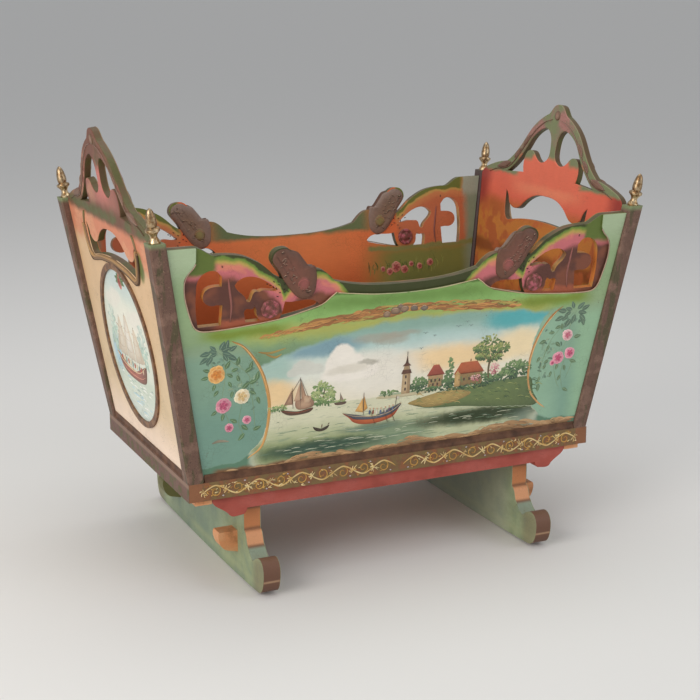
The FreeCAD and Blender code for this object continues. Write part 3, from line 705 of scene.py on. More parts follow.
def paint_arcs(work):
    """The orange lines between the flower panels and the harbour, thick in the middle and thin at the
    ends."""
    work.stroke([(-335, 470), (-310, 455), (-280, 414), (-263, 362), (-261, 318), (-272, 268), (-300, 246)],
                7, "a97a3c", "d9a462", lift=0.5, steps=30)
    work.stroke([(-329, 466), (-306, 451), (-278, 408), (-262, 362)], 2.4, "e3b578", lift=0.9, steps=24)
    work.stroke([(332, 468), (304, 446), (277, 400), (267, 348), (274, 305), (292, 280), (312, 264)], 6.5,
                "a5713c", "d8a56c", lift=0.5, steps=30)
    work.stroke([(318, 458), (290, 424), (271, 374), (269, 330)], 2.2, "e6bd85", lift=0.9, steps=24)


def paint_boats(work):
    """A moored two-master on the left, the rowed lugger in the middle, a far sail and a small dark skiff."""
    sail, shade, dark = "b79377", "8d6a55", "5b4334"
    work.stroke([(-203, 388), (-201, 330)], 1.6, dark, lift=0.9)
    work.stroke([(-218, 370), (-215, 330)], 1.4, dark, lift=0.9)
    work.shape([(-202, 384), (-187, 342), (-199, 338)], sail, shade, 0.6, smooth=False)
    work.shape([(-204, 378), (-201, 340), (-214, 344)], "c9a98c", sail, 0.6, smooth=False)
    work.shape([(-219, 366), (-216, 338), (-233, 338)], sail, shade, 0.6, smooth=False)
    work.shape([(-210, 345), (-180, 346), (-176, 330), (-206, 327)], "c3a083", shade, 0.7)
    work.shape([(-194, 352), (-181, 349), (-183, 338), (-194, 338)], "cfb193", sail, 0.9)
    work.shape([(-238, 330), (-206, 324), (-176, 328), (-184, 319), (-214, 317), (-230, 321)], dark, dark,
               0.8)
    work.stroke([(-236, 328), (-208, 322), (-178, 326)], 1.6, "a4513a", lift=1.2)
    for tip in ((-236, 331), (-178, 331)):
        work.stroke([(-203, 386), tip], 0.6, dark, lift=1.0)
    work.shape([(-134, 331), (-112, 331), (-115, 326), (-131, 326)], "6a5a4e", dark, 0.5)
    work.stroke([(-124, 350), (-123, 331)], 0.8, dark, lift=0.6)
    work.shape([(-123, 347), (-116, 333), (-123, 333)], "9d8a78", "8a7766", 0.5, smooth=False)

    rust, blue, pale = "c4683a", "5f6570", "e4c79a"
    work.shape([(-118, 308), (-94, 299), (-50, 294), (-18, 300), (-1, 314), (-6, 300), (-18, 288), (-48, 281),
                (-78, 282), (-96, 288), (-106, 298)], rust, "a24a2c", 0.8, centre=(-58, 290))
    work.shape([(-119, 309), (-94, 300), (-50, 295), (-20, 301), (0, 315), (-1, 308), (-18, 295), (-50, 289),
                (-92, 293), (-108, 301)], blue, "474650", 1.1, centre=(-56, 294))
    work.stroke([(-118, 309), (-93, 300), (-50, 295.5), (-20, 301), (0, 315)], 1.3, pale, lift=1.6, steps=20)
    work.stroke([(-77, 344), (-76, 300)], 1.3, dark, lift=1.1)
    work.shape([(-77, 340), (-68, 312), (-76, 306)], "d9a356", "b98344", 1.0, smooth=False)
    work.shape([(-78, 334), (-77, 305), (-93, 309)], "e6b970", "c79250", 1.0, smooth=False)
    for along, coat in ((-64, "4a5a78"), (-57, "8c4a3a"), (-50, "d8d0c4"), (-42, "5d6a86"), (-33, "cfc4b8"),
                        (-25, "75566e"), (-18, "5b6c8c")):
        foot = 299 + abs(along + 45) * 0.12
        work.stroke([(along, foot - 2), (along + 1, foot + 7)], 4.6, coat, lift=1.4, steps=5)
        work.stroke([(along + 1, foot + 8), (along + 1.4, foot + 11)], 3.0, "c99a7c", lift=1.6, steps=4)
    for along in (-62, -36, -22):
        work.stroke([(along, 306), (along + 10, 280)], 0.8, "6b5038", lift=1.7, steps=4)
    work.stroke([(-12, 312), (-10, 330)], 0.9, dark, lift=1.1)
    work.shape([(-10, 329), (-4, 326), (-10, 322)], "dcd6cc", "c6beb2", 1.1, smooth=False)

    work.shape([(-175, 290), (-160, 284), (-143, 290), (-148, 282), (-160, 279), (-170, 282)], "4d4334",
               INK, 0.6)
    work.stroke([(-158, 286), (-157, 293)], 2.4, "6b5a44", lift=0.9, steps=4)
    work.stroke([(-146, 290), (-143, 294)], 2.0, "5c4c3a", lift=0.9, steps=4)
    for low in (276, 272):
        work.stroke([(-112, low), (-60, low - 3), (-10, low)], 1.8, "6f8a78", lift=0.2)


def paint_birds(work):
    """Far birds, each two shallow wing strokes in one line."""
    for along, height, span in ((108, 449, 7), (134, 448, 6), (126, 456, 5), (41, 443, 6), (34, 414, 5),
                                (60, 436, 4)):
        work.stroke([(along - span, height + 2), (along - span / 3, height + 3), (along, height),
                     (along + span / 3, height + 3), (along + span, height + 1.5)], 1.1, "7c8a88", steps=6)


def house(work, low, high, left, right, ridge, wall, roof, windows):
    """A gabled house: a wall, its lit gable, a pitched roof and dark windows."""
    work.shape([(left, low), (right, low), (right, high), (left, high)], wall, wall, 0.5, False, shade=0.25)
    start, end, top = ridge
    work.shape([(left - 3, high - 1), (right + 3, high - 1), (end, top), (start, top)], roof,
               near(work, roof), 0.8, False, shade=0.3)
    work.stroke([(start, top), (end, top)], 1.4, "d08a5c", lift=1.1, steps=5)
    work.stroke([(left - 3, high - 1), (right + 3, high - 1)], 1.1, "6e3f2e", lift=1.0, steps=5)
    for along, height in windows:
        work.shape([(along - 1.7, height - 3), (along + 1.7, height - 3), (along + 1.7, height + 3),
                    (along - 1.7, height + 3)], "4a3a30", "57453a", 0.9, False)


def paint_village(work):
    """The far bank: a church, two houses, a poplar, a spreading tree, blossom, bushes and a grassy point."""
    greens = ["4c6144", "60774c", "7d8f58", "a3a868"]
    dark_greens = ["3f5540", "516a4a", "668055", "7f9766"]
    work.stroke([(-48, 334), (0, 332), (60, 334)], 7, "9fae8e", "a9b594", lift=0.3)
    dabs(work, (-30, 336), (22, 5), 8, dark_greens[1:], 26)
    work.shape([(-48, 327), (10, 325), (60, 328), (56, 333), (-40, 333)], "cdbf9d", "b9b08d", 0.3)

    work.shape([(-2, 330), (16, 330), (15, 372), (-1, 372)], "cdb48e", "a98e6c", 0.6, False, shade=-0.1)
    for outline, tone, rim, lift in (([(9, 330), (16, 330), (15, 372), (9, 372)], "a78c6a", "9a7f5f", 0.8),
                                     ([(-4, 370), (18, 370), (15, 378), (-1, 378)], "6d4a3a", "5a3c30", 0.9),
                                     ([(0, 377), (14, 377), (12, 386), (2, 386)], "b69a76", "94795b", 0.7),
                                     ([(-2, 385), (16, 385), (10, 391), (4, 391)], "694637", "563a2e", 0.9),
                                     ([(4, 390), (10, 390), (7, 406)], "5c4438", "4d382e", 0.8)):
        work.shape(outline, tone, rim, lift, False)
    work.stroke([(7, 404), (7, 413)], 1.0, INK, lift=1.0, steps=4)
    for height in (340, 352, 364):
        work.shape([(4, height - 3), (7.4, height - 3), (7.4, height + 2), (5.7, height + 4),
                    (4, height + 2)], "54423a", "54423a", 1.0, False)
    work.stroke([(7, 379), (7, 384)], 2.4, "54423a", lift=0.9, steps=4)

    dabs(work, (62, 342), (50, 11), 8, dark_greens[:3], 130)
    dabs(work, (150, 340), (60, 12), 8, dark_greens[:3], 150)
    dabs(work, (33, 347), (14, 15), 8, dark_greens, 60)
    dabs(work, (96, 356), (8, 34), 8, dark_greens, 80)
    house(work, 336, 361, 52, 84, (62, 74, 380), "ab8a64", "a05040",
          [(59, 350), (67, 350), (76, 350), (63, 342), (72, 342)])
    house(work, 331, 357, 108, 168, (119, 155, 378), "917750", "b4603e",
          [(117, 345), (128, 345), (139, 345), (150, 345), (160, 345)])
    work.shape([(108, 331), (120, 331), (120, 357), (114, 365), (108, 357)], "c9a872", "b8935e", 0.9, False)
    work.stroke([(140, 378), (140, 384)], 3.0, "8d5540", lift=0.9, steps=4)

    work.stroke([(180, 340), (179, 362), (182, 385)], 5, "6a5a3e", "5d5036", taper=(1, 0.4), lift=0.8)
    for branch in ([(181, 372), (166, 388), (158, 396)], [(181, 374), (197, 388), (206, 394)]):
        work.stroke(branch, 2.4, "6a5a3e", lift=0.8)
    for centre, spread in (((182, 412), (26, 15)), ((160, 400), (17, 10)), ((207, 398), (18, 10)),
                           ((182, 394), (24, 10)), ((190, 380), (20, 8)), ((163, 385), (12, 7))):
        dabs(work, centre, spread, 8, greens, 62)
    for centre, spread, size, count in (((240, 352), (30, 18), 9, 150), ((218, 340), (24, 11), 8, 70),
                                        ((188, 338), (16, 8), 7, 40)):
        dabs(work, centre, spread, size, dark_greens, count)
    for centre, spread, count in (((192, 358), (10, 11), 60), ((152, 344), (11, 7), 46)):
        dabs(work, centre, spread, 5, ("b56a72", "d79a9c", "e8bdb8"), count, lift=0.9)

    work.shape([(14, 311), (48, 321), (101, 327), (175, 332), (240, 336), (276, 332), (284, 302), (296, 276),
                (250, 270), (190, 281), (123, 291), (64, 295), (34, 301)], "6f7f4e", "5a6b45", 0.4,
               centre=(180, 306), shade=0.35)
    work.shape([(12, 311), (44, 320), (84, 326), (128, 325), (150, 316), (122, 304), (84, 298), (52, 298),
                (30, 304)], "b39a5e", "9a8450", 0.6, shade=0.3)
    for number in range(150):
        along = work.draw(22, 286)
        height = work.draw(284, 330) - 0.02 * abs(along - 150)
        if height < 296 + (150 - along) * 0.06:
            continue
        slope = work.draw(-0.25, -0.1)
        reach = work.draw(6, 16)
        colour = "c0a468" if along < 120 and work.draw(0, 1) < 0.6 else work.pick(greens)
        work.stroke([(along, height), (along + reach / 2, height + 1.2),
                     (along + reach, height + slope * reach)], 1.7, near(work, colour, 0.2), lift=0.8,
                    steps=4)
    dabs(work, (64, 333), (44, 5), 7, dark_greens[:3], 60, lift=0.9)
    dabs(work, (140, 329), (48, 5), 7, dark_greens[:3], 60, lift=0.9)
    for number in range(14):
        along = 30 + number * 18
        work.stroke([(along, 299 - number * 1.8), (along + 11, 297 - number * 1.9),
                     (along + 20, 298 - number * 1.9)], 1.6, "b9c0a2", lift=0.5, steps=4)


WATER_FOOT = 244
WATER_RISE = 84
WATER_END = 262


def paint_water(work):
    """Light and dark ripples, shorter towards the horizon."""
    for _ in range(170):
        height = WATER_FOOT + WATER_RISE * work.draw(0, 1) ** 1.2
        along = work.draw(-255, WATER_END)
        far = (height - WATER_FOOT) / WATER_RISE
        reach = work.draw(10, 38) * (1.25 - far)
        light = work.draw(0, 1) < 0.5
        pale, deep = "c9cbb0", "6d8468"
        colour = near(work, pale if light else deep, 0.12)
        if abs(along) + reach > WATER_END or (along > 10 and height > 288):
            continue
        work.stroke([(along, height), (along + reach / 2, height + 0.8), (along + reach, height)], 1.2,
                    colour, lift=0.12, steps=4)


RIBBON_LENGTH = 560
LEDGE_FOOT = 219


def ribbon_middle(along):
    """The middle of the rocky scroll: a slow rise to the right with a hump shaped as half a sine."""
    share = (along + 292) / RIBBON_LENGTH
    return 466 + 12 * share + 22 * sin(pi * min(1, max(0, share)) ** 0.9)


def paint_ribbon(work):
    """The rocky scroll over the sky: broad overlapping strokes close in colour, spread wider at the middle,
    where a knot of grey stones lies, with short dark cracks."""
    tones = ("aa7242", "bb864a", "9a6438", "ae9a52", "94683c", "c68e52")
    for _ in range(150):
        start = work.draw(-286, 214)
        reach = work.draw(26, 58)
        share = (start + 290) / RIBBON_LENGTH
        thick = 3 + 10 * sin(pi * min(1, max(0, share)))
        shift = work.draw(-thick, thick) * 0.8
        points = [(start + reach * part, ribbon_middle(start + reach * part) + shift + wave)
                  for part, wave in ((0, -1.5), (0.35, 1.2), (0.7, -1.0), (1, 0.8))]
        work.stroke(points, work.draw(3.0, 7.0), near(work, work.pick(tones), 0.08),
                    lift=0.25 + work.draw(0, 0.15), steps=8)
    for centre, radius in (((-40, 488), 9), ((-24, 493), 11), ((-6, 495), 10), ((14, 495), 9), ((34, 493), 8),
                           ((-14, 500), 7)):
        outline = [(centre[0] + radius * work.draw(0.8, 1.15) * cos(turn),
                    centre[1] + radius * work.draw(0.5, 0.75) * sin(turn))
                   for turn in np.linspace(0, 5.5, 8)]
        stone = work.pick(("8f7a6c", "a3866c", "7d7468"))
        work.shape(outline, near(work, stone), "6f5a48", 0.6, shade=0.5)
        work.stroke([(centre[0] - radius * 0.6, centre[1] + 3), (centre[0], centre[1] + 5),
                     (centre[0] + radius * 0.6, centre[1] + 2.5)], 1.6, "c4a98c", lift=1.0, steps=6)
    for points in ([(-285, 444), (-262, 440), (-232, 446)], [(-270, 438), (-252, 431), (-240, 436)]):
        work.stroke(points, 5.0, "96763f", "a99555", lift=0.3)
    for _ in range(46):
        along = work.draw(-250, 226)
        height = ribbon_middle(along) + work.draw(-6, 6)
        work.stroke([(along, height), (along + 5, height + 2.5), (along + 11, height + 0.5)], 1.2, "6b4c30",
                    lift=0.5, steps=5)


def ledge_top(along):
    """The ledge's uneven top: a gentle rise to the right with a long and a short wave on it."""
    return 235 + 0.02 * along + 6 * sin(along * 0.031 + 1.1) + 3.5 * sin(along * 0.083)


def paint_rocks(work):
    """The brown ledge along the foot of the painting: broad soft strokes that follow low mounds, lighter
    towards their tops, with pale strokes along the crest."""
    tones = ("6a4a34", "75543c", "85633f", "96714c", "a9835a", "bb966c")
    for _ in range(330):
        start = work.draw(-350, 350)
        reach = work.draw(18, 44)
        crest = ledge_top(start)
        rise = work.draw(0, 1)
        height = LEDGE_FOOT + (crest - LEDGE_FOOT) * rise
        tone = tones[min(5, int(rise * 4.6 + work.draw(0, 1.4)))]
        bend = cos(start * 0.031 + 1.1) * 2.5
        work.stroke([(start, height - bend), (start + reach * 0.45, height + 1.6),
                     (start + reach, height + bend - 1)], work.draw(3.5, 7.5), near(work, tone, 0.1),
                    lift=0.25 + 0.2 * rise, steps=5)
    for _ in range(40):
        start = work.draw(-340, 345)
        crest = ledge_top(start)
        work.stroke([(start, crest - 3), (start + 8, crest + 0.5), (start + 20, crest - 2)], 1.8,
                    near(work, "c79f70", 0.1), lift=0.6, steps=5)


def paint_left_shore(work):
    """The tree and low bushes behind the moored ship."""
    greens = ["5d7a4e", "76905c", "94a76e", "a9b47c"]
    work.stroke([(-158, 328), (-157, 345), (-155, 360)], 4, "6a6046", lift=0.4)
    for centre, spread in (((-157, 348), (24, 20)), ((-160, 364), (16, 12)), ((-146, 340), (14, 12)),
                           ((-170, 342), (12, 14))):
        dabs(work, centre, spread, 8, greens, 56)
    dabs(work, (-243, 334), (20, 6), 7, greens, 44)
    dabs(work, (-128, 333), (16, 3), 6, greens[1:], 16)


def paint_scroll_band(work):
    """The gilt scroll on the base: a waving vine, and at each wave a curl whose radius shrinks evenly with
    the turn, leaf strokes that fan out from its neck, and a lilac berry. The leaves crowd towards the
    ends."""
    gilt = tuple(bpy.context.scene.cradle_paint.gilt)
    pale, deep = "e0cb96", "a3743a"
    middle = (RAIL_LOW.z + RAIL_HIGH.z) / 2 / MM
    step = 41
    for side in (-1, 1):
        for number in range(9):
            start = 12 + number * step
            flip = 1 if number % 2 == 0 else -1
            vine = [(side * (start + part * step), middle + flip * rise)
                    for part, rise in ((-0.12, -4), (0.15, 4), (0.5, 9.5), (0.85, 4), (1.12, -4))]
            work.stroke(vine, 3.6, near(work, gilt, 0.1), near(work, pale, 0.1), lift=0.7, steps=12)
            centre = (side * (start + 0.5 * step), middle - flip * 1.5)
            size = work.draw(0.9, 1.1)
            curl = []
            for turn in range(8):
                angle = radians(90 * flip + side * flip * turn * 60)
                radius = size * (10.5 - turn * 1.15)
                curl.append((centre[0] + radius * cos(angle), centre[1] + radius * sin(angle)))
            work.stroke(curl, 2.8, near(work, gilt, 0.15), near(work, deep, 0.1), taper=(0.2, 0.9), lift=0.8,
                        steps=26)
            neck = (side * (start + 0.95 * step), middle - flip * 1.0)
            for spread in (-130, -85, -40, 5, 50):
                angle = radians(spread + work.draw(-12, 12)) * flip
                reach = work.draw(7, 11.5)
                tip = (neck[0] + side * reach * cos(angle), neck[1] + reach * sin(angle))
                bent = ((neck[0] + tip[0]) / 2 + side * 2.5, (neck[1] + tip[1]) / 2 + flip * 2.2)
                work.stroke([neck, bent, tip], work.draw(1.8, 3.0),
                            near(work, (pale, gilt, deep)[number % 3], 0.15), near(work, pale, 0.15),
                            lift=0.6, steps=6)
            berry = (side * (start + 0.1 * step), middle - flip * 11)
            work.stroke([berry, (berry[0] + side * 4, berry[1] + 0.6)], 3.2, "a99aa8", "cfc6c4",
                        lift=0.7, steps=4)
        for number in range(90):
            along = work.draw(215, 384) if number < 70 else work.draw(20, 215)
            height = middle + work.draw(-11, 11)
            angle = work.draw(0, 2 * pi)
            reach = work.draw(4, 8)
            work.stroke([(side * along, height),
                         (side * (along + reach * 0.5), height + reach * 0.35 * sin(angle)),
                         (side * (along + reach * cos(angle)), height + 0.6 * reach * sin(angle))],
                        work.draw(1.4, 2.6), near(work, (pale, gilt, deep)[number % 3], 0.2),
                        lift=0.5, steps=5)


def offset_line(points, distance):
    """The line moved to its left by a distance."""
    direction = np.gradient(points, axis=0)
    direction /= np.linalg.norm(direction, axis=1)[:, None] + TINY
    return points + np.stack([-direction[:, 1], direction[:, 0]], 1) * distance


RECESS_HALF = [(-139, 538), (-150, 530), (-167, 518), (-200, 509), (-246, 499), (-306, 493), (-351, 490),
               (-384, 490), (-398, 495), (-406, 506), (-414, 530), (-420, 555), (-421, 578), (-415, 594),
               (-406, 604), (-401, 612)]
RIM_HALF = [(0, 526), (-35, 527), (-70, 529), (-110, 534), (-139, 538)]


def frame_recess(work, sign, colour, end, width, shift, lift):
    """A strip along the edge of one sunk fretwork ground, moved inwards by shift."""
    line = smooth_line(np.array(RECESS_HALF, float), 60)
    line = offset_line(line, shift)[::2]
    work.stroke([(sign * -x, z) for x, z in line], width, colour, end, taper=(1, 1), lift=lift,
                steps=len(line))


def edge_line(work):
    """The fine cream line round the sunk grounds and along the dip's rim."""
    cream, pink = "c9b18c", "a98a7c"
    for sign in (-1, 1):
        frame_recess(work, sign, cream, pink, 2.4, -1.3, 0.7)
        work.stroke([(sign * x, z - 0.5) for x, z in RIM_HALF], 2.2, "a9b184", cream, taper=(1, 1), lift=0.6,
                    steps=20)


def ground_bevel(work):
    """The mauve-brown bevel inside the sunk grounds."""
    for sign in (-1, 1):
        frame_recess(work, sign, "6d4f45", "7d6258", 9.0, 4.6, 2.6)
        frame_recess(work, sign, "9c7f6c", "8a7060", 1.8, 7.8, 3.2)


CLUB_LINE = [(182, 589), (193, 590), (204, 603), (215, 616), (227, 620), (236, 625), (247, 625), (257, 620),
             (262, 612), (262, 602), (256, 593), (247, 581), (241, 569), (232, 556), (221, 542), (208, 532),
             (192, 531), (180, 541), (177, 557), (177, 573)]


def club(work, sign, body, rim, marks):
    """The scroll-ended club, gently domed, with its small carved marks and a curl at its foot."""
    work.shape([(sign * x, z) for x, z in CLUB_LINE], body, rim, 3.0, centre=(sign * 222, 582), shade=-0.2)
    pale, dark, pink = marks
    work.shape([(sign * x, z) for x, z in ((205, 575), (214, 568), (216, 556), (206, 546), (195, 548),
                                           (190, 560), (195, 571))], pink, body, 3.7)
    for _ in range(34):
        share = work.draw(0, 1)
        x = 198 + 50 * share + work.draw(-11, 11)
        z = 548 + 64 * share + work.draw(-10, 8)
        angle = work.draw(-0.7, 0.9)
        reach = work.draw(3, 7)
        step = (cos(angle) * reach / 2, sin(angle) * reach / 2)
        points = [(sign * (x - step[0]), z - step[1]), (sign * x, z + 1.3),
                  (sign * (x + step[0]), z + step[1])]
        work.stroke(points, 1.6, near(work, pale, 0.2), lift=3.7, steps=5)
        work.stroke([(px + sign * 0.4, pz - 1.8) for px, pz in points], 1.1, near(work, dark), lift=3.5,
                    steps=5)
    curl = [(204 - 9 * cos(0.25 + 0.75 * step), 560 + (9 - step) * sin(0.25 + 0.75 * step))
            for step in range(6)]
    work.stroke([(sign * x, z) for x, z in curl], 3.4, "c06c64", near(work, pink), taper=(0.7, 0.2), lift=4.2,
                steps=18)
    for shift in (-9, 9):
        work.stroke([(sign * (x + shift), z) for x, z in ((246, 612), (236, 597), (224, 578), (212, 562))],
                    1.8, dark, near(work, rim), lift=3.3, steps=12)


def fret_marks(work, sign):
    """Dark dashes along the arch's foot and a rib down the pillar."""
    work.stroke([(sign * x, z) for x, z in ((336, 503), (334, 530), (338, 560), (341, 582))], 5.0,
                "7d4f44", "94574e", taper=(0.4, 0.1), lift=1.2, steps=18)
    for x, z, turn in ((246, 560, 30), (236, 553, -20), (252, 553, 70), (262, 561, 10), (230, 547, 40),
                       (352, 600, 80), (244, 547, 0), (238, 560, 110), (256, 566, 40), (248, 540, 10)):
        angle = radians(turn)
        work.stroke([(sign * x, z), (sign * (x + 4.5 * cos(angle)), z + 4.5 * sin(angle))], 2.0,
                    "2c211c", lift=1.3, steps=4)


def paint_back_roses(work, flip):
    """Pink roses and grass blades low on a side board's inner face."""
    grass = ["6f7a3c", "8a9048", "55632f"]
    for _ in range(60):
        along = work.draw(170, 350)
        height = work.draw(440, 458)
        work.stroke([(flip * along, height), (flip * (along + 2), height + 9),
                     (flip * (along + work.draw(-5, 7)), height + work.draw(12, 24))], 2.0,
                    near(work, work.pick(grass), 0.2), lift=0.3, steps=6)
    for along, height, size in ((238, 458, 12), (258, 452, 9), (222, 450, 8), (294, 456, 7), (320, 462, 8),
                                (206, 456, 6), (274, 462, 6)):
        rose(work, (flip * along, height), size, "8f3a3c", "b8625c", "d39a86")


def handhold_trim(work):
    """The raised brown border round the handhold's foot and horns, with a painted highlight in tan along its
    top.
    """
    lower = [(165, 616), (163, 600), (158, 584), (150, 568), (140, 559), (126, 557), (95, 563), (60, 567),
             (0, 570)]
    line = lower + [(-x, z) for x, z in reversed(lower[:-1])]
    brown, tan = "80603f", "b08a5c"
    work.stroke(line, 13, brown, brown, taper=(1, 1), lift=4.5, steps=60)
    # Painted highlight: a tan line along the border's top.
    work.stroke([(x, z + 3.0) for x, z in line], 4.6, tan, tan, taper=(0.8, 0.8), lift=5.6, steps=60)
    work.stroke([(x * 1.03, z - 4.6) for x, z in line], 2.0, "54402f", taper=(0.8, 0.8), lift=4.0, steps=60)
    for side in (-1, 1):
        work.stroke([(side * 165, 616), (side * 158, 634), (side * 150, 644)], 8, brown, "6b6a3a",
                    taper=(0.9, 0.2), lift=3.0, steps=10)


OVAL_MIDDLE = 412
OVAL_WIDE = 136
OVAL_TALL = 142


def paint_medallion(work):
    """The ship in the oval: red hull, full cream sails on three masts, foam and far green shores, and a rose
    above."""
    white, cream, shade = "ebe6da", "e0d6c4", "ccbca6"
    red, dark = "b06152", "6e4f40"
    for centre, spread, codes in (((-92, 424), (22, 44), ("a9c2b2", "bccfc0", "cbd8cc")),
                                  ((88, 424), (24, 40), ("a3beb0", "b5cabc", "c8d5ca"))):
        dabs(work, centre, spread, 18, codes, 56, lift=0.2)
    for along, foot, top in ((-46, 362, 462), (-4, 362, 474), (42, 368, 456)):
        work.stroke([(along, foot), (along, top)], 1.6, dark, lift=0.4, steps=6)
    for outline, tone in (([(-50, 458), (-42, 459), (-24, 420), (-26, 384), (-70, 382), (-64, 424)], cream),
                          ([(-9, 470), (2, 470), (20, 424), (22, 384), (-22, 383), (-24, 426)], white),
                          ([(38, 452), (46, 452), (64, 420), (70, 390), (26, 384), (28, 420)], cream),
                          ([(-52, 446), (-74, 408), (-84, 386), (-58, 386)], shade),
                          ([(50, 446), (72, 412), (84, 394), (60, 390)], shade)):
        work.shape(outline, tone, shade, 0.7, False, shade=0.12)
    for low, high in ((-66, -28), (-20, 20), (30, 66)):
        for height in (404, 426, 442):
            work.stroke([(low, height), ((low + high) / 2, height - 5), (high, height + 1)], 1.4,
                        near(work, shade), lift=1.2, steps=8)
    work.shape([(-94, 382), (-60, 368), (-10, 362), (40, 367), (86, 390), (78, 364), (62, 351), (20, 345),
                (-50, 347), (-80, 360)], red, dark, 1.0, centre=(-6, 357))
    work.stroke([(-94, 382), (-60, 369), (-10, 363), (40, 368), (86, 390)], 3.4, "e0c29c", lift=1.8, steps=24)
    work.stroke([(-74, 361), (-20, 354), (40, 357), (72, 367)], 2.4, "d99a80", lift=1.7, steps=18)
    for number in range(11):
        along = -66 + number * 13
        work.stroke([(along, 371), (along + 1, 381)], 5.0,
                    near(work, ("c26a5a", "e3d4b6", "93a4a0")[number % 3]), lift=1.6, steps=4)
    for number in range(80):
        along, height = work.draw(-110, 100), work.draw(276, 350)
        limit = OVAL_WIDE * sqrt(max(0.05, 1 - ((height - OVAL_MIDDLE) / OVAL_TALL) ** 2)) - 10
        reach = work.draw(12, 34)
        if abs(along) + reach > limit:
            continue
        colour = work.pick(("f2f3ec", "b5d2dc", "a3b8b0"))
        work.stroke([(along, height), (along + reach / 2, height + 1.5), (along + reach, height)], 3.0,
                    near(work, colour, 0.06), lift=0.25, steps=6)
    for turn in (20, 70, 120, 165, 210, 330):
        angle = radians(turn)
        leaf(work, (12, 538), (12 + 30 * cos(angle), 538 + 13 * sin(angle)), 9, "4f6a3c",
             "8aa066", 0.6)
    rose(work, (10, 536), 15, "84302c", "ab5148", "c98476")


def crest_leaves(work):
    """Carved leaves on the crest's shoulders, a rib up each arm and a small boss under the knob."""
    brown, rim = "7a5a4a", "5f4a34"
    for side in (-1, 1):
        for base, tip, width in (((150, 683), (204, 668), 13), ((138, 694), (118, 716), 11),
                                 ((110, 722), (90, 746), 10)):
            leaf(work, (side * base[0], base[1]), (side * tip[0], tip[1]), width, brown, "a58a74", 2.4)
        work.stroke([(side * x, z) for x, z in ((232, 655), (205, 664), (176, 668), (150, 678), (124, 702),
                                                (98, 732), (72, 758), (44, 776), (16, 784))], 4.0, rim,
                    "8a6a5e", taper=(0.3, 0.6), lift=2.0, steps=40)
    work.shape([(10 * cos(turn), 793 + 10 * sin(turn)) for turn in np.linspace(0, 5.6, 10)],
               "9a7866", rim, 1.4)


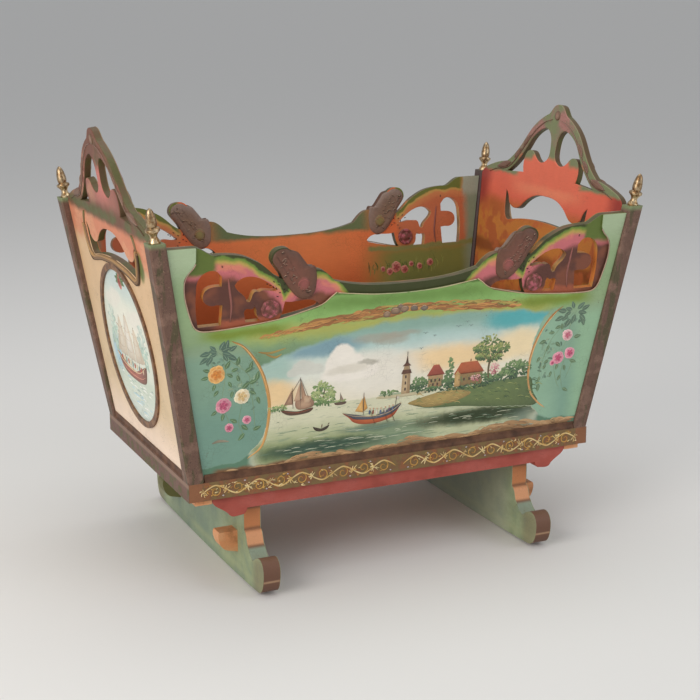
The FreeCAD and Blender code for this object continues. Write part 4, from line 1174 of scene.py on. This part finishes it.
# ---------------------------------------------------------------- finishes
def side_paint(name, sign):
    """A side board. Its outer face has the harbour's sky and water between two flower panels, its sunk ground
    the fretwork's green, yellow and pink over purple-brown, and its inner face orange fading to olive. The
    numbers in the masks are millimetres along the board and up it."""
    paint = Paint(name, "5f836c", 0.44)
    coat, blob = paint.coat, paint.blob
    bench = paint.bench
    paint.warp(paint.x * -sign)
    along, height, reach = paint.along, paint.height, paint.reach
    surface = (paint.z - BASE_TOP) * SIDE_SLOPE + SIDE_FOOT
    depth = surface - abs(paint.y)
    smooth = bench.smooth
    over, out, up, rise, ring = paint.over, paint.out, paint.up, paint.rise, paint.ring
    drift = bench.noise(paint.spot, 70.0, 3.0) - 0.5

    # margins and the green field over the scene
    coat("a3b48c", over(330, 430) * up(300, 520))
    coat("93ab80", up(380, 500))
    coat("8fb86c", up(440, 492) * out(400, 330))
    coat("b0b262", rise(462, 486, 14) * out(330, 280))
    coat("7c8f38", rise(472, 492, 9) * ring(235, 385, 24) * 0.95)
    coat("72964f", rise(505, 530, 12) * out(240, 120))
    coat("5d7a40", up(529, 534) * out(230, 190))
    coat("47592f", up(541, 552) * out(230, 190))
    coat("a9bb98", up(560, 620) * out(380, 400))

    # flower panels
    upward = (height - 328) / 145
    downward = (height - 328) / 88
    tall = upward.higher(0.0) + downward.lower(0.0)
    inner = (reach - 337) / 75
    arc = (inner.lower(0.0) * inner.lower(0.0) + tall * tall).power(0.5)
    panel = smooth(arc, 1.02, 0.97) * up(474, 440)
    coat("84a48e", panel)
    coat("789c8c", panel * up(400, 300))
    coat("93a583", panel * up(430, 465))
    coat("94b79c", panel * over(380, 300) * over(200, 260))
    coat("9cc09c", panel * over(345, 385) * 0.8)

    # sky between the panels
    side = abs((along - 80) / 364)
    sky_top = 477 - side.power(2.4) * 63
    corner = out(262, 300) * up(268, 250)
    scene = out(345, 330) * smooth(arc, 0.985, 1.02) * (1 - corner)
    sky = scene * smooth(height - sky_top, 5, -7)
    coat("8fb0a2", sky)
    coat("b7d0ca", sky * up(466, 430))
    coat("e4e6da", sky * up(440, 395))
    coat("ede5cd", sky * up(395, 352))
    coat("7a9dab", sky * blob(-165, 440, 78, 17, 0.9) * 0.85)
    coat("58aeb2", sky * blob(245, 455, 78, 22, 0.8) * 0.95)
    coat("9ec0b4", sky * blob(-262, 404, 48, 34, 0.8) * 0.8)
    coat("efcf9e", sky * blob(-252, 362, 46, 26, 0.9))
    coat("f5d6a6", sky * blob(110, 392, 120, 24, 0.9))
    coat("f3deb4", sky * blob(246, 402, 60, 30, 0.9))
    coat("eee8da", sky * blob(-60, 378, 90, 40, 0.9))
    for centre in ((-122, 418, 26, 22), (-104, 404, 24, 20), (-136, 404, 22, 17), (-118, 388, 44, 20),
                   (-84, 388, 34, 16)):
        coat("f5eee2", sky * blob(*centre, 0.35))
    coat("cfc7b4", sky * blob(-112, 392, 40, 9, 0.8) * 0.5)
    for centre in ((-198, 408, 20, 12), (-180, 400, 22, 10), (-214, 400, 14, 8)):
        coat("d6d6cb", sky * blob(*centre, 0.45) * 0.9)
    for centre in ((-58, 447, 42, 9), (-28, 440, 32, 10), (-72, 401, 20, 5), (-10, 450, 36, 6)):
        coat("a8a394", sky * blob(*centre, 0.8) * 0.7)

    # water
    water = scene * up(335, 331) * smooth(paint.z, 214, 240)
    ripple = bench.noise(bench.join(along * 0.12, depth, paint.z), 5.0, 3.0)
    coat("dad8ba", water)
    coat("bfc49e", water * up(312, 276))
    coat("8c9a6c", water * up(284, 256) * over(40, -60))
    coat("86987a", water * up(290, 262) * over(-120, -20) * over(90, 30))
    coat("3c5546", water * blob(-160, 248, 120, 15, 0.9))
    coat("36432c", water * blob(170, 268, 136, 16, 0.8))
    coat("6c7f74", water * over(200, 290) * up(280, 250))
    coat("5d7263", water * blob(-56, 274, 62, 8, 0.9) * 0.7)
    coat("6f8a78", water * smooth(ripple, 0.56, 0.7) * 0.45)
    coat("d6d6bc", water * smooth(ripple, 0.42, 0.3) * 0.35)
    coat("7d5b40", up(236, 229) * out(372, 350))
    coat("5a4030", smooth(paint.z, 226, 220) * out(392, 380))

    # sunk ground of the fretwork
    ground = smooth(depth, 2.0, 3.0)
    arch = 622 - (((360 - reach.lower(360.0)) / 98) * ((360 - reach.lower(360.0)) / 98)) * 40
    ear = 583 - abs((reach - 180) / 42).power(1.6) * 22
    low = out(236, 246)
    edge_line = arch * low + ear * (1 - low)
    under = edge_line - height + drift * 15
    coat("5e3a32", ground)
    coat("7d4a38", ground * smooth(drift, -0.02, 0.1))
    coat("c66d72", ground * smooth(under, 46, 31))
    coat("d9836f", ground * smooth(under, 30, 22) * smooth(drift, -0.02, 0.08))
    coat("b9a256", ground * smooth(under, 20, 11))
    coat("6e8a3c", ground * smooth(under, 13, 5))
    coat("3f4526", ground * smooth(under, 5.5, 1.5))
    coat("a4583f", ground * up(512, 503) * out(380, 340))
    coat("5f7034", ground * out(360, 372) * up(584, 596))

    # cut edges of the board
    edge = smooth(depth, 4.8, 5.6)
    coat("4b4a2c", edge)
    coat("6b5138", edge * smooth(drift, -0.05, 0.12))
    hole = edge * out(246, 252) * up(600, 590)
    coat("b98a4c", hole)
    coat("c87a3a", hole * smooth(drift, 0.0, 0.08))
    coat("8f6a44", hole * smooth(drift, -0.02, -0.1))

    # inner face
    inside = smooth(depth, 16.6, 17.4)
    coat("dc6e40", inside)
    coat("ea8850", inside * up(380, 500) * out(300, 60))
    coat("a55a2c", inside * up(500, 380) * 0.7)
    coat("828848", inside * smooth(paint.x, 130, 240) * up(530, 480))
    coat("5f7040", inside * smooth(paint.x, 190, 260) * up(470, 400) * 0.8)
    coat("8c9a80", inside * out(392, 425))
    coat("a9b39e", inside * out(380, 400) * up(590, 615))
    fret = inside * out(240, 252) * out(412, 400) * up(496, 506)
    coat("c8744e", fret)
    coat("d28a58", fret * smooth(under, 30, 12))
    coat("c9a45c", fret * smooth(under, 13, 8))
    coat("6f7a3a", fret * smooth(under, 7, 3))
    coat("7c3c22", fret * blob(340, 548, 13, 40, 0.6))
    coat("c06a84", fret * blob(346, 592, 11, 10, 0.7))
    coat("6b7a52", inside * up(536, 548) * out(220, 150))
    coat("8a8b52", inside * rise(494, 504, 3) * out(170, 180))
    paint.age(streak=(0.2, 1.0, 1.0), amount=0.13, chips=0.45, cracks=0.35)
    return paint.finish(bump=0.1)


def end_paint(name, sign):
    """An end board. Outside, a cream panel under salmon and a brown crest, with the medallion's sea and sky
    in the oval. Inside, coral above and orange-brown below, and a grey-olive crest. The numbers in the
    masks are millimetres along the board and up it."""
    paint = Paint(name, "d9c09c", 0.46, wobble=7.0)
    coat, blob = paint.coat, paint.blob
    bench = paint.bench
    paint.warp(paint.y * sign)
    along, reach = paint.along, paint.reach
    surface = (paint.z - BASE_TOP) * END_SLOPE + END_FOOT
    depth = surface - abs(paint.x)
    smooth = bench.smooth
    over, out, up, rise = paint.over, paint.out, paint.up, paint.rise
    drift = bench.noise(paint.spot, 60.0, 3.0) - 0.5

    coat("d8b68f", up(330, 560))
    coat("f2dac4", up(330, 230))
    coat("c89a6a", out(225, 262) * 0.6)
    coat("cf8465", up(572, 610))
    coat("d99673", up(560, 600) * smooth(drift, 0.0, 0.1))
    coat("6f4a38", up(634, 650))
    coat("5c5d36", rise(646, 664, 8) * smooth(drift, -0.12, 0.02))
    coat("7d4d42", up(668, 700))
    coat("9a6a58", up(690, 770) * smooth(drift, -0.06, 0.06))
    coat("5c5836", up(648, 662) * smooth(drift, 0.02, 0.08) * 0.8)
    coat("a2685c", up(662, 684) * out(120, 60) * up(742, 716))
    coat("c2756c", up(672, 700) * out(46, 24) * up(752, 730))
    coat("b5806a", over(-30, -70) * up(660, 690) * smooth(drift, -0.04, 0.06))
    coat("68713c", blob(172, 590, 16, 26, 0.7))
    coat("6e4a3a", up(735, 775) * 0.7)

    # medallion: sky, far haze, sea and streaks of foam inside the oval
    oval = blob(0, OVAL_MIDDLE, 146, 150, 0.03)
    coat("dbe0d2", oval)
    coat("c2d2d0", oval * up(480, 545))
    coat("eceadc", oval * blob(20, 440, 90, 50, 0.9))
    coat("cdd8c8", oval * up(372, 352))
    coat("d6dfd2", oval * up(345, 300))
    coat("d2ddd6", oval * up(315, 272))
    coat("a3c6d6", oval * blob(-96, 380, 26, 36, 0.9) * 0.8)
    streak = bench.noise(bench.join(depth, along * 0.14, paint.z), 4.5, 3.0)
    coat("dfe3d8", oval * up(352, 330) * smooth(streak, 0.54, 0.66) * 0.8)
    coat("9fb8b4", oval * up(335, 300) * smooth(streak, 0.44, 0.34) * 0.5)
    for centre in ((-70, 486, 40, 14), (-40, 500, 34, 14), (60, 470, 46, 14), (90, 482, 26, 11)):
        coat("e6e2d6", oval * blob(*centre, 0.6) * 0.8)

    edge = smooth(depth, 0.5, 1.4)
    coat("5d4a34", edge)
    coat("56552f", edge * smooth(drift, -0.04, 0.1))

    inside = smooth(depth, 12.4, 13.2)
    coat("a85a34", inside)
    coat("8f4a2a", inside * smooth(bench.noise(bench.join(along, depth, paint.z * 0.1), 40.0), 0.5, 0.62))
    coat("c8713c", inside * up(330, 520) * 0.5)
    coat("dd6a52", inside * up(590, 618))
    coat("e58464", inside * up(612, 640) * out(170, 60))
    coat("9c3d34", inside * out(205, 250) * up(560, 610))
    coat("c07a38", inside * rise(430, 575, 16) * smooth(drift, -0.06, 0.0))
    coat("7d3f22", inside * rise(486, 512, 8) * smooth(drift, -0.1, 0.0) * 0.8)
    lobes = out(128, 108) * up(712, 700)
    coat("e07258", inside * up(640, 655) * lobes)
    coat("7c8460", inside * up(655, 664) * (1 - lobes))
    coat("7c8460", inside * up(690, 704) * smooth(abs(reach - 88), 26, 14))
    coat("8d7a68", inside * up(690, 735) * smooth(drift, -0.08, 0.08))
    coat("b07a74", inside * up(700, 780) * smooth(drift, 0.02, 0.12) * 0.8)
    paint.age(streak=(1.0, 0.2, 1.0), amount=0.13, chips=0.4, cracks=0.45)
    return paint.finish(bump=0.1)


def post_paint(name):
    """A corner post: purple-brown speckled with worn spots and streaked with olive, with an olive top, and
    painted shade on the far right-hand post.
    """
    paint = Paint(name, "6b5146", 0.5)
    coat = paint.coat
    bench = paint.bench
    olive = bench.noise(bench.join(paint.x * 0.7, paint.y * 0.7, paint.z * 0.05), 9.0, 2.0)
    coat("4f4c34", bench.smooth(olive, 0.52, 0.62) * 0.8)
    coat("7d6154", bench.smooth(bench.noise(paint.spot, 24.0, 3.0), 0.5, 0.66))
    speckle = bench.noise(paint.spot, 2.6, 2.0, 0.7)
    coat("2f231d", bench.smooth(speckle, 0.62, 0.68) * 0.8)
    coat("a98f74", bench.smooth(speckle, 0.35, 0.30) * 0.55)
    coat("7a8460", bench.smooth(paint.z, 640, 650))
    # Painted shade: the far right-hand post, which stands in the cradle's shadow, is darkened to purple-grey.
    coat("4a3a3c", bench.smooth(paint.x, 200, 300) * bench.smooth(paint.y, 100, 140) * 0.9)
    paint.age(streak=(1.0, 1.0, 0.12), amount=0.16, chips=0.6, cracks=0.3, under="9b7a5a")
    return paint.finish(bump=0.14)


def base_paint(name):
    """The base frame: an olive-brown band for the gilt scroll, mauve-brown ends and orange end grain."""
    paint = Paint(name, "77573f", 0.5)
    coat = paint.coat
    bench = paint.bench
    smooth = bench.smooth
    half_length, half_width = -END_RAIL_LOW.x / MM, -RAIL_LOW.y / MM
    front = smooth(abs(paint.y), half_width - 1.5, half_width - 0.5)
    ends = smooth(abs(paint.x), half_length - 1.5, half_length - 0.5)
    mottle = bench.noise(paint.spot, 16.0, 3.0)
    coat("7a6440", front * smooth(mottle, 0.42, 0.6))
    coat("8a5a3c", front * smooth(mottle, 0.5, 0.36))
    coat("8a5c40", front * smooth(abs(paint.x), half_length - 26, half_length - 24))
    coat("6e5148", ends)
    coat("5b5538", ends * smooth(mottle, 0.5, 0.62))
    coat("8a6f60", ends * smooth(paint.z, 203, 208))
    coat("a2764e", smooth(abs(paint.x), half_length - 29, half_length - 31)
               * smooth(abs(paint.y), half_width - 29, half_width - 31) * smooth(paint.z, 192, 194))
    paint.age(streak=(0.15, 1.0, 1.0), amount=0.2, chips=0.6, cracks=0.3, under="a17a54")
    return paint.finish(bump=0.14)


def plain_paint(name, colours, streak=(0.2, 1.0, 1.0), roughness=0.48, grain=24.0, chips=0.5, amount=0.18,
                metallic=0.0):
    """Old paint in three tones that run into each other, with brush marks, chips and cracks."""
    first, second, third = colours
    paint = Paint(name, first, roughness)
    bench = paint.bench
    tone = bench.noise(paint.spot, grain, 4.0)
    paint.coat(second, bench.smooth(tone, 0.46, 0.62))
    paint.coat(third, bench.smooth(tone, 0.46, 0.32))
    paint.age(streak=streak, amount=amount, chips=chips, cracks=0.3)
    paint.shader.inputs["Metallic"].default_value = metallic
    return paint.finish(bump=0.12)


def block_paint(name):
    """The blocks under the base: peach at the front, mauve-brown running into olive at the back."""
    paint = Paint(name, "d79466", 0.48)
    coat = paint.coat
    bench = paint.bench
    tone = bench.noise(paint.spot, 30.0, 3.0)
    coat("d9a074", bench.smooth(tone, 0.46, 0.66))
    coat("b87c54", bench.smooth(tone, 0.46, 0.32))
    behind = bench.smooth(paint.y, 20, 60)
    coat("6f5348", behind)
    coat("6b6a42", behind * bench.smooth(paint.z, 130, 90))
    paint.age(streak=(0.2, 1.0, 1.0), amount=0.14, chips=0.4, cracks=0.25)
    return paint.finish(bump=0.12)


def rocker_paint(name):
    """A rocker: sage green faces with painted blue-grey shade under the box and towards the back, painted
    highlights low down and over the right rocker, brown top edges, peach steps and a brown nose.
    """
    paint = Paint(name, "8f9c7a", 0.5)
    coat, between = paint.coat, paint.between
    bench = paint.bench
    smooth = bench.smooth
    middle = (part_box("right_rocker")[0].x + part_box("right_rocker")[1].x) / 2 / MM
    half = (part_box("right_rocker")[1].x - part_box("right_rocker")[0].x) / 2 / MM
    face = smooth(abs(abs(paint.x) - middle), half - 1.2, half - 0.5)
    reach = abs(paint.y)
    tone = bench.noise(paint.spot, 46.0, 3.0)
    coat("9ba684", smooth(tone, 0.46, 0.66))
    coat("83937c", smooth(tone, 0.5, 0.34))
    # Painted shade: blue-grey in the middle, under the box.
    coat("7d9080", smooth(reach, 150, 40) * 0.6)
    # Painted highlight: a lighter band low on the faces.
    coat("a9b088", between(paint.z, 14, 24, 8) * 0.5)
    # Painted shade: blue-grey over the back half.
    coat("6b7d78", smooth(abs(paint.y - 150), 110, 40) * 0.45)
    coat("7d6a50", smooth(reach, 238, 270) * smooth(paint.z, 84, 60) * 0.5)
    # Painted highlight: the right rocker is made lighter than the left.
    coat("b3b6a8", smooth(paint.x, -50, 50) * smooth(reach, 220, 160) * 0.4)
    steps = 1 - face
    coat("7b5a44", steps)
    coat("c27f52", steps * between(paint.z, 104, 140, 4))
    coat("d69a70", steps * between(paint.z, 76, 100, 3) * smooth(reach, 200, 206))
    coat("8c9a86", steps * between(paint.z, 54, 72, 3) * smooth(reach, 258, 250))
    coat("6f4f40", steps * smooth(reach, 258, 266) * smooth(paint.z, 74, 68))
    coat("a58468", steps * between(paint.z, 30, 34, 1.5) * smooth(reach, 280, 290))
    coat("8a9270", steps * smooth(paint.z, 12, 4) * smooth(reach, 270, 240))
    paint.age(streak=(1.0, 0.2, 1.0), amount=0.18, chips=0.55, cracks=0.3)
    return paint.finish(bump=0.12)


def wood(name, dark, light, along, roughness=0.55):
    """Bare or thinly painted wood with its grain running along one direction."""
    paint = Paint(name, dark, roughness)
    bench = paint.bench
    grain = {"Place": paint.spot, "Along": along}
    paint.coat(light, bench.smooth(bench.group("Wood grain", grain), 0.4, 0.62))
    paint.age(streak=along, amount=0.14, chips=0.3, cracks=0.1, under=dark)
    paint.heights.append(bench.group("Wood grain", grain, output=1))
    return paint.finish(bump=0.14)


def brass(name):
    """Gilt brass gone brown in its hollows, bright where hands rub it."""
    material = bpy.data.materials.new(name)
    material.use_nodes = True
    bench = Bench(material.node_tree)
    shader = material.node_tree.nodes["Principled BSDF"]
    spot, parts = bench.place()
    tarnish = bench.noise(spot, 7.0, 4.0)
    patina = bench.noise(spot, 1.8, 3.0)
    colour = bench.mix(bench.smooth(tarnish, 0.4, 0.62), tint("dcc6a0"), tint("98764e"))
    colour = bench.mix(bench.smooth(patina, 0.6, 0.7), colour, tint("6e5636"))
    colour = bench.mix(bench.smooth(parts[2], 668, 678) * 0.5, colour, tint("7d6046"))
    bench.feed(shader.inputs["Base Color"], colour)
    bench.feed(shader.inputs["Roughness"], tarnish * 0.35 + 0.2)
    bench.feed(shader.inputs["Metallic"], 1.0 - bench.smooth(patina, 0.6, 0.7) * 0.7)
    bench.feed(shader.inputs["Normal"],
               bench.node("ShaderNodeBump", {"Height": patina, "Strength": 1.0, "Distance": 0.0002}))
    return material


# ---------------------------------------------------------------- settings
class CradlePaintSettings(bpy.types.PropertyGroup):
    gilt: bpy.props.FloatVectorProperty(
        name="Gilt", description="Colour of the scroll band's gilt strokes", subtype="COLOR", size=3,
        min=0, max=1, default=tint("c79a4e"))
    relief: bpy.props.FloatProperty(
        name="Paint thickness", description="How far thick paint stands off the boards", default=THICK_PAINT,
        min=0.0001, max=0.002, unit="LENGTH")


# The camera's place in metres, its turn in degrees, and its lens and sensor in millimetres.
CAMERA_PLACE = (-1.2109, -2.6388, 1.0952)
CAMERA_TURN = (90 - 14.2812, 0.1, 65.1024 - 90)
CAMERA_LENS = 78.43
CAMERA_SENSOR = 36
LIGHTS_AIM = Vector((0, 0, 0.35))


class CradleStageSettings(bpy.types.PropertyGroup):
    floor_size: bpy.props.FloatProperty(
        name="Floor size", description="Side of the square floor", default=120.0, min=4, unit="LENGTH")
    floor_colour: bpy.props.FloatVectorProperty(
        name="Floor colour", description="Colour of the plain floor", subtype="COLOR", size=3, min=0, max=1,
        default=(0.80, 0.79, 0.77))
    key_power: bpy.props.FloatProperty(
        name="Key light", description="Power of the large soft light on the left", default=88.0, unit="POWER")
    fill_power: bpy.props.FloatProperty(
        name="Fill light", description="Power of the soft light on the right", default=31.0, unit="POWER")
    sky_strength: bpy.props.FloatProperty(
        name="Room light", description="Strength of the even light of the room", default=0.46, min=0)


def dress(node, material):
    """Give a CAD node one material in all its slots."""
    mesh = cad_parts[node].data
    for index in range(len(mesh.materials)):
        mesh.materials[index] = material
    if not mesh.materials:
        mesh.materials.append(material)


class CRADLE_OT_groups(bpy.types.Operator):
    """Build the shared shader groups: brush marks, old paint, wood grain and dust"""
    bl_idname = "cradle.groups"
    bl_label = "Shader groups"

    def execute(self, context):
        brush_group()
        wear_group()
        grain_group()
        dust_group()
        return {"FINISHED"}


class CRADLE_OT_boards(bpy.types.Operator):
    """Paint the four boards"""
    bl_idname = "cradle.boards"
    bl_label = "Boards"

    def execute(self, context):
        dress("front_side_board", side_paint("Front board paint", -1))
        dress("back_side_board", side_paint("Back board paint", 1))
        dress("left_end_board", end_paint("Left end paint", -1))
        dress("right_end_board", end_paint("Right end paint", 1))
        return {"FINISHED"}


class CRADLE_OT_timber(bpy.types.Operator):
    """Finish the posts, base, rockers, bearers, floor and small parts"""
    bl_idname = "cradle.timber"
    bl_label = "Timber and fittings"

    def execute(self, context):
        post = post_paint("Post paint")
        base = base_paint("Base paint")
        rocker = rocker_paint("Rocker paint")
        red = plain_paint("Bearer red", ("a64f44", "ae584e", "98463c"), grain=60.0)
        dark = plain_paint("Bead brown", ("5a3c2c", "6b4935", "482f22"))
        peach = block_paint("Block peach")
        rosette = plain_paint("Rosette paint", ("7a4a42", "b0606a", "633c34"), grain=9.0)
        ring = plain_paint("Ring brown", ("70503c", "8a6648", "5a4030"), grain=12.0)
        floor = wood("Floor wood", "a8683c", "c08450", (0.03, 1.0, 1.0))
        hidden = wood("Pin wood", "a88458", "bf9c6c", (1.0, 1.0, 0.05))
        iron = plain_paint("Nail iron", ("4a4038", "5c4a3c", "38302a"), grain=2.0, metallic=0.6)
        gilt = brass("Gilt brass")
        finishes = {"_post": post, "base_rail": base, "_rocker": rocker, "_bearer": red, "_bead": dark,
                    "_block": peach, "_batten": peach, "_rosette": rosette, "_ring": ring,
                    "_floor_board": floor, "_pins": hidden, "_dowels": hidden, "_nails": iron,
                    "_finial": gilt, }
        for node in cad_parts:
            for part, material in finishes.items():
                if node.endswith(part) or (part == "base_rail" and node.startswith(part)):
                    dress(node, material)
        return {"FINISHED"}


class CRADLE_OT_paintings(bpy.types.Operator):
    """Paint the harbour, the flower panels and the rock scroll on the side boards' outer faces"""
    bl_idname = "cradle.paintings"
    bl_label = "Side paintings"

    def execute(self, context):
        material = raised_paint("Thick paint")
        relief = context.scene.cradle_paint.relief / THICK_PAINT
        for side, face in (("front", FRONT), ("back", BACK)):
            for name, motif in (("water", paint_water), ("village", paint_village), ("boats", paint_boats),
                                ("birds", paint_birds), ("ribbon", paint_ribbon), ("ledge", paint_rocks),
                                ("left_flowers", paint_left_flowers), ("right_flowers", paint_right_flowers),
                                ("arcs", paint_arcs), ("left_shore", paint_left_shore),
                                ("edge_line", edge_line)):
                work = Brushwork(face, SEEDS[side], relief)
                motif(work)
                work.finish("%s_%s" % (side, name), material, "side_paint")
        return {"FINISHED"}


class CRADLE_OT_fretwork(bpy.types.Operator):
    """Carve and paint the bevels, the clubs and the ribs of the side boards' fretwork, on both faces"""
    bl_idname = "cradle.fretwork"
    bl_label = "Fretwork carving"

    def execute(self, context):
        material = raised_paint("Carved paint", roughness=0.5, amount=0.3)
        pale, dark, pink = "a98d78", "3c2b24", "94504a"
        palettes = {
            "front": (FRONT_GROUND, "7a4a3a", "61402f", (pale, dark, pink)),
            "back": (BACK_GROUND, "7a4a3a", "61402f", (pale, dark, pink)),
            "front_inner": (FRONT_INSIDE, "80654e", "8a7468", ("b09a80", dark, "8a8048")),
            "back_inner": (BACK_INSIDE, "80654e", "8a7468", ("b09a80", dark, "8a8048")),
        }
        for number, (name, (face, body, rim, marks)) in enumerate(palettes.items()):
            work = Brushwork(face, SEEDS["clubs"] + number)
            for sign in (-1, 1):
                club(work, sign, body, rim, marks)
                fret_marks(work, sign)
            work.finish(name + "_clubs", material, "side_paint")
        for name, face in (("front", FRONT_GROUND), ("back", BACK_GROUND)):
            work = Brushwork(face, SEEDS["bevel"])
            ground_bevel(work)
            work.finish(name + "_bevel", material, "side_paint")
        return {"FINISHED"}


class CRADLE_OT_inner_roses(bpy.types.Operator):
    """Paint the roses and grass low on the side boards' inner faces"""
    bl_idname = "cradle.inner_roses"
    bl_label = "Inner roses"

    def execute(self, context):
        material = raised_paint("Rose paint")
        for name, face, flip in (("back", BACK_INSIDE, 1), ("front", FRONT_INSIDE, -1)):
            work = Brushwork(face, SEEDS["inner_roses"])
            paint_back_roses(work, flip)
            work.finish(name + "_inner_roses", material, "side_paint")
        return {"FINISHED"}


class CRADLE_OT_scroll_band(bpy.types.Operator):
    """Paint the gilt scroll on the front and back base rails"""
    bl_idname = "cradle.scroll_band"
    bl_label = "Gilt scroll band"

    def execute(self, context):
        material = raised_paint("Gilt paint", roughness=0.38, metallic=0.25)
        for name, face in (("front", RAIL_FRONT), ("back", RAIL_BACK)):
            work = Brushwork(face, SEEDS["scroll_band"])
            paint_scroll_band(work)
            work.finish(name + "_scroll_band", material, "base_paint")
        return {"FINISHED"}


class CRADLE_OT_ends(bpy.types.Operator):
    """Add the end boards' ship paintings, handhold borders and carved crest leaves"""
    bl_idname = "cradle.ends"
    bl_label = "End boards' details"

    def execute(self, context):
        thick = raised_paint("Medallion paint")
        carved = raised_paint("Carved border", roughness=0.5, amount=0.3)
        for name, face, inner in (("left", LEFT, LEFT_INSIDE), ("right", RIGHT, RIGHT_INSIDE)):
            work = Brushwork(face, SEEDS["ship"])
            paint_medallion(work)
            work.finish(name + "_ship", thick, "end_paint")
            work = Brushwork(face, SEEDS["handhold"])
            handhold_trim(work)
            work.finish(name + "_handhold_border", carved, "end_paint")
            for part, side in (("outer", face), ("inner", inner)):
                work = Brushwork(side, SEEDS["crest"])
                crest_leaves(work)
                work.finish("%s_%s_crest" % (name, part), carved, "end_paint")
        return {"FINISHED"}


class CRADLE_OT_stage(bpy.types.Operator):
    """Set the plain floor, the soft studio lights and the camera"""
    bl_idname = "cradle.stage"
    bl_label = "Stage"

    def execute(self, context):
        settings = context.scene.cradle_stage
        half = settings.floor_size / 2
        mesh = bpy.data.meshes.new("floor")
        mesh.from_pydata([(-half, -half, 0), (half, -half, 0), (half, half, 0), (-half, half, 0)], [],
                         [(0, 1, 2, 3)])
        floor = bpy.data.objects.new("floor", mesh)
        material = bpy.data.materials.new("Studio floor")
        material.use_nodes = True
        shader = material.node_tree.nodes["Principled BSDF"]
        shader.inputs["Base Color"].default_value = (*settings.floor_colour, 1)
        shader.inputs["Roughness"].default_value = 0.9
        mesh.materials.append(material)
        context.scene.collection.objects.link(floor)

        world = bpy.data.worlds.new("Studio")
        world.use_nodes = True
        room = world.node_tree.nodes["Background"]
        room.inputs["Color"].default_value = (0.95, 0.97, 1.0, 1)
        room.inputs["Strength"].default_value = settings.sky_strength
        context.scene.world = world

        for name, place, size, power, colour in (
                ("key", (-3.4, -1.6, 1.9), 2.6, settings.key_power, (1.0, 0.96, 0.9)),
                ("fill", (2.6, -2.8, 1.9), 2.4, settings.fill_power, (0.95, 0.97, 1.0)),
                ("top", (0.2, 0.4, 3.4), 2.6, settings.fill_power, (1.0, 0.98, 0.95))):
            light = bpy.data.lights.new(name, "AREA")
            light.size = size
            light.energy = power
            light.color = colour
            lamp = bpy.data.objects.new(name, light)
            lamp.location = place
            aim = LIGHTS_AIM - Vector(place)
            lamp.rotation_euler = aim.to_track_quat("-Z", "Y").to_euler()
            context.scene.collection.objects.link(lamp)

        lens = bpy.data.cameras.new("camera")
        lens.lens = CAMERA_LENS
        lens.sensor_width = CAMERA_SENSOR
        camera = bpy.data.objects.new("camera", lens)
        camera.location = CAMERA_PLACE
        camera.rotation_euler = [radians(angle) for angle in CAMERA_TURN]
        context.scene.collection.objects.link(camera)
        context.scene.camera = camera
        context.scene.view_settings.view_transform = "Standard"
        return {"FINISHED"}


class CRADLE_PT_panel(bpy.types.Panel):
    """The cradle's pieces, in the order they are made"""
    bl_idname = "CRADLE_PT_panel"
    bl_label = "Painted baby cradle"
    bl_space_type = "VIEW_3D"
    bl_region_type = "UI"
    bl_category = "Cradle"

    def draw(self, context):
        column = self.layout.column()
        for settings in (context.scene.cradle_paint, context.scene.cradle_stage):
            for name in settings.__annotations__:
                column.prop(settings, name)
        for operator in OPERATORS:
            column.operator(operator.bl_idname)


OPERATORS = (CRADLE_OT_groups, CRADLE_OT_boards, CRADLE_OT_timber, CRADLE_OT_paintings, CRADLE_OT_fretwork,
             CRADLE_OT_inner_roses, CRADLE_OT_scroll_band, CRADLE_OT_ends, CRADLE_OT_stage)
CLASSES = (CradlePaintSettings, CradleStageSettings, *OPERATORS, CRADLE_PT_panel)


def register():
    for each in CLASSES:
        bpy.utils.register_class(each)
    bpy.types.Scene.cradle_paint = bpy.props.PointerProperty(type=CradlePaintSettings)
    bpy.types.Scene.cradle_stage = bpy.props.PointerProperty(type=CradleStageSettings)


def unregister():
    del bpy.types.Scene.cradle_stage
    del bpy.types.Scene.cradle_paint
    for each in reversed(CLASSES):
        bpy.utils.unregister_class(each)


def main():
    """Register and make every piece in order."""
    register()
    for operator in OPERATORS:
        group, name = operator.bl_idname.split(".")
        getattr(getattr(bpy.ops, group), name)()


if __name__ == "__main__":
    main()
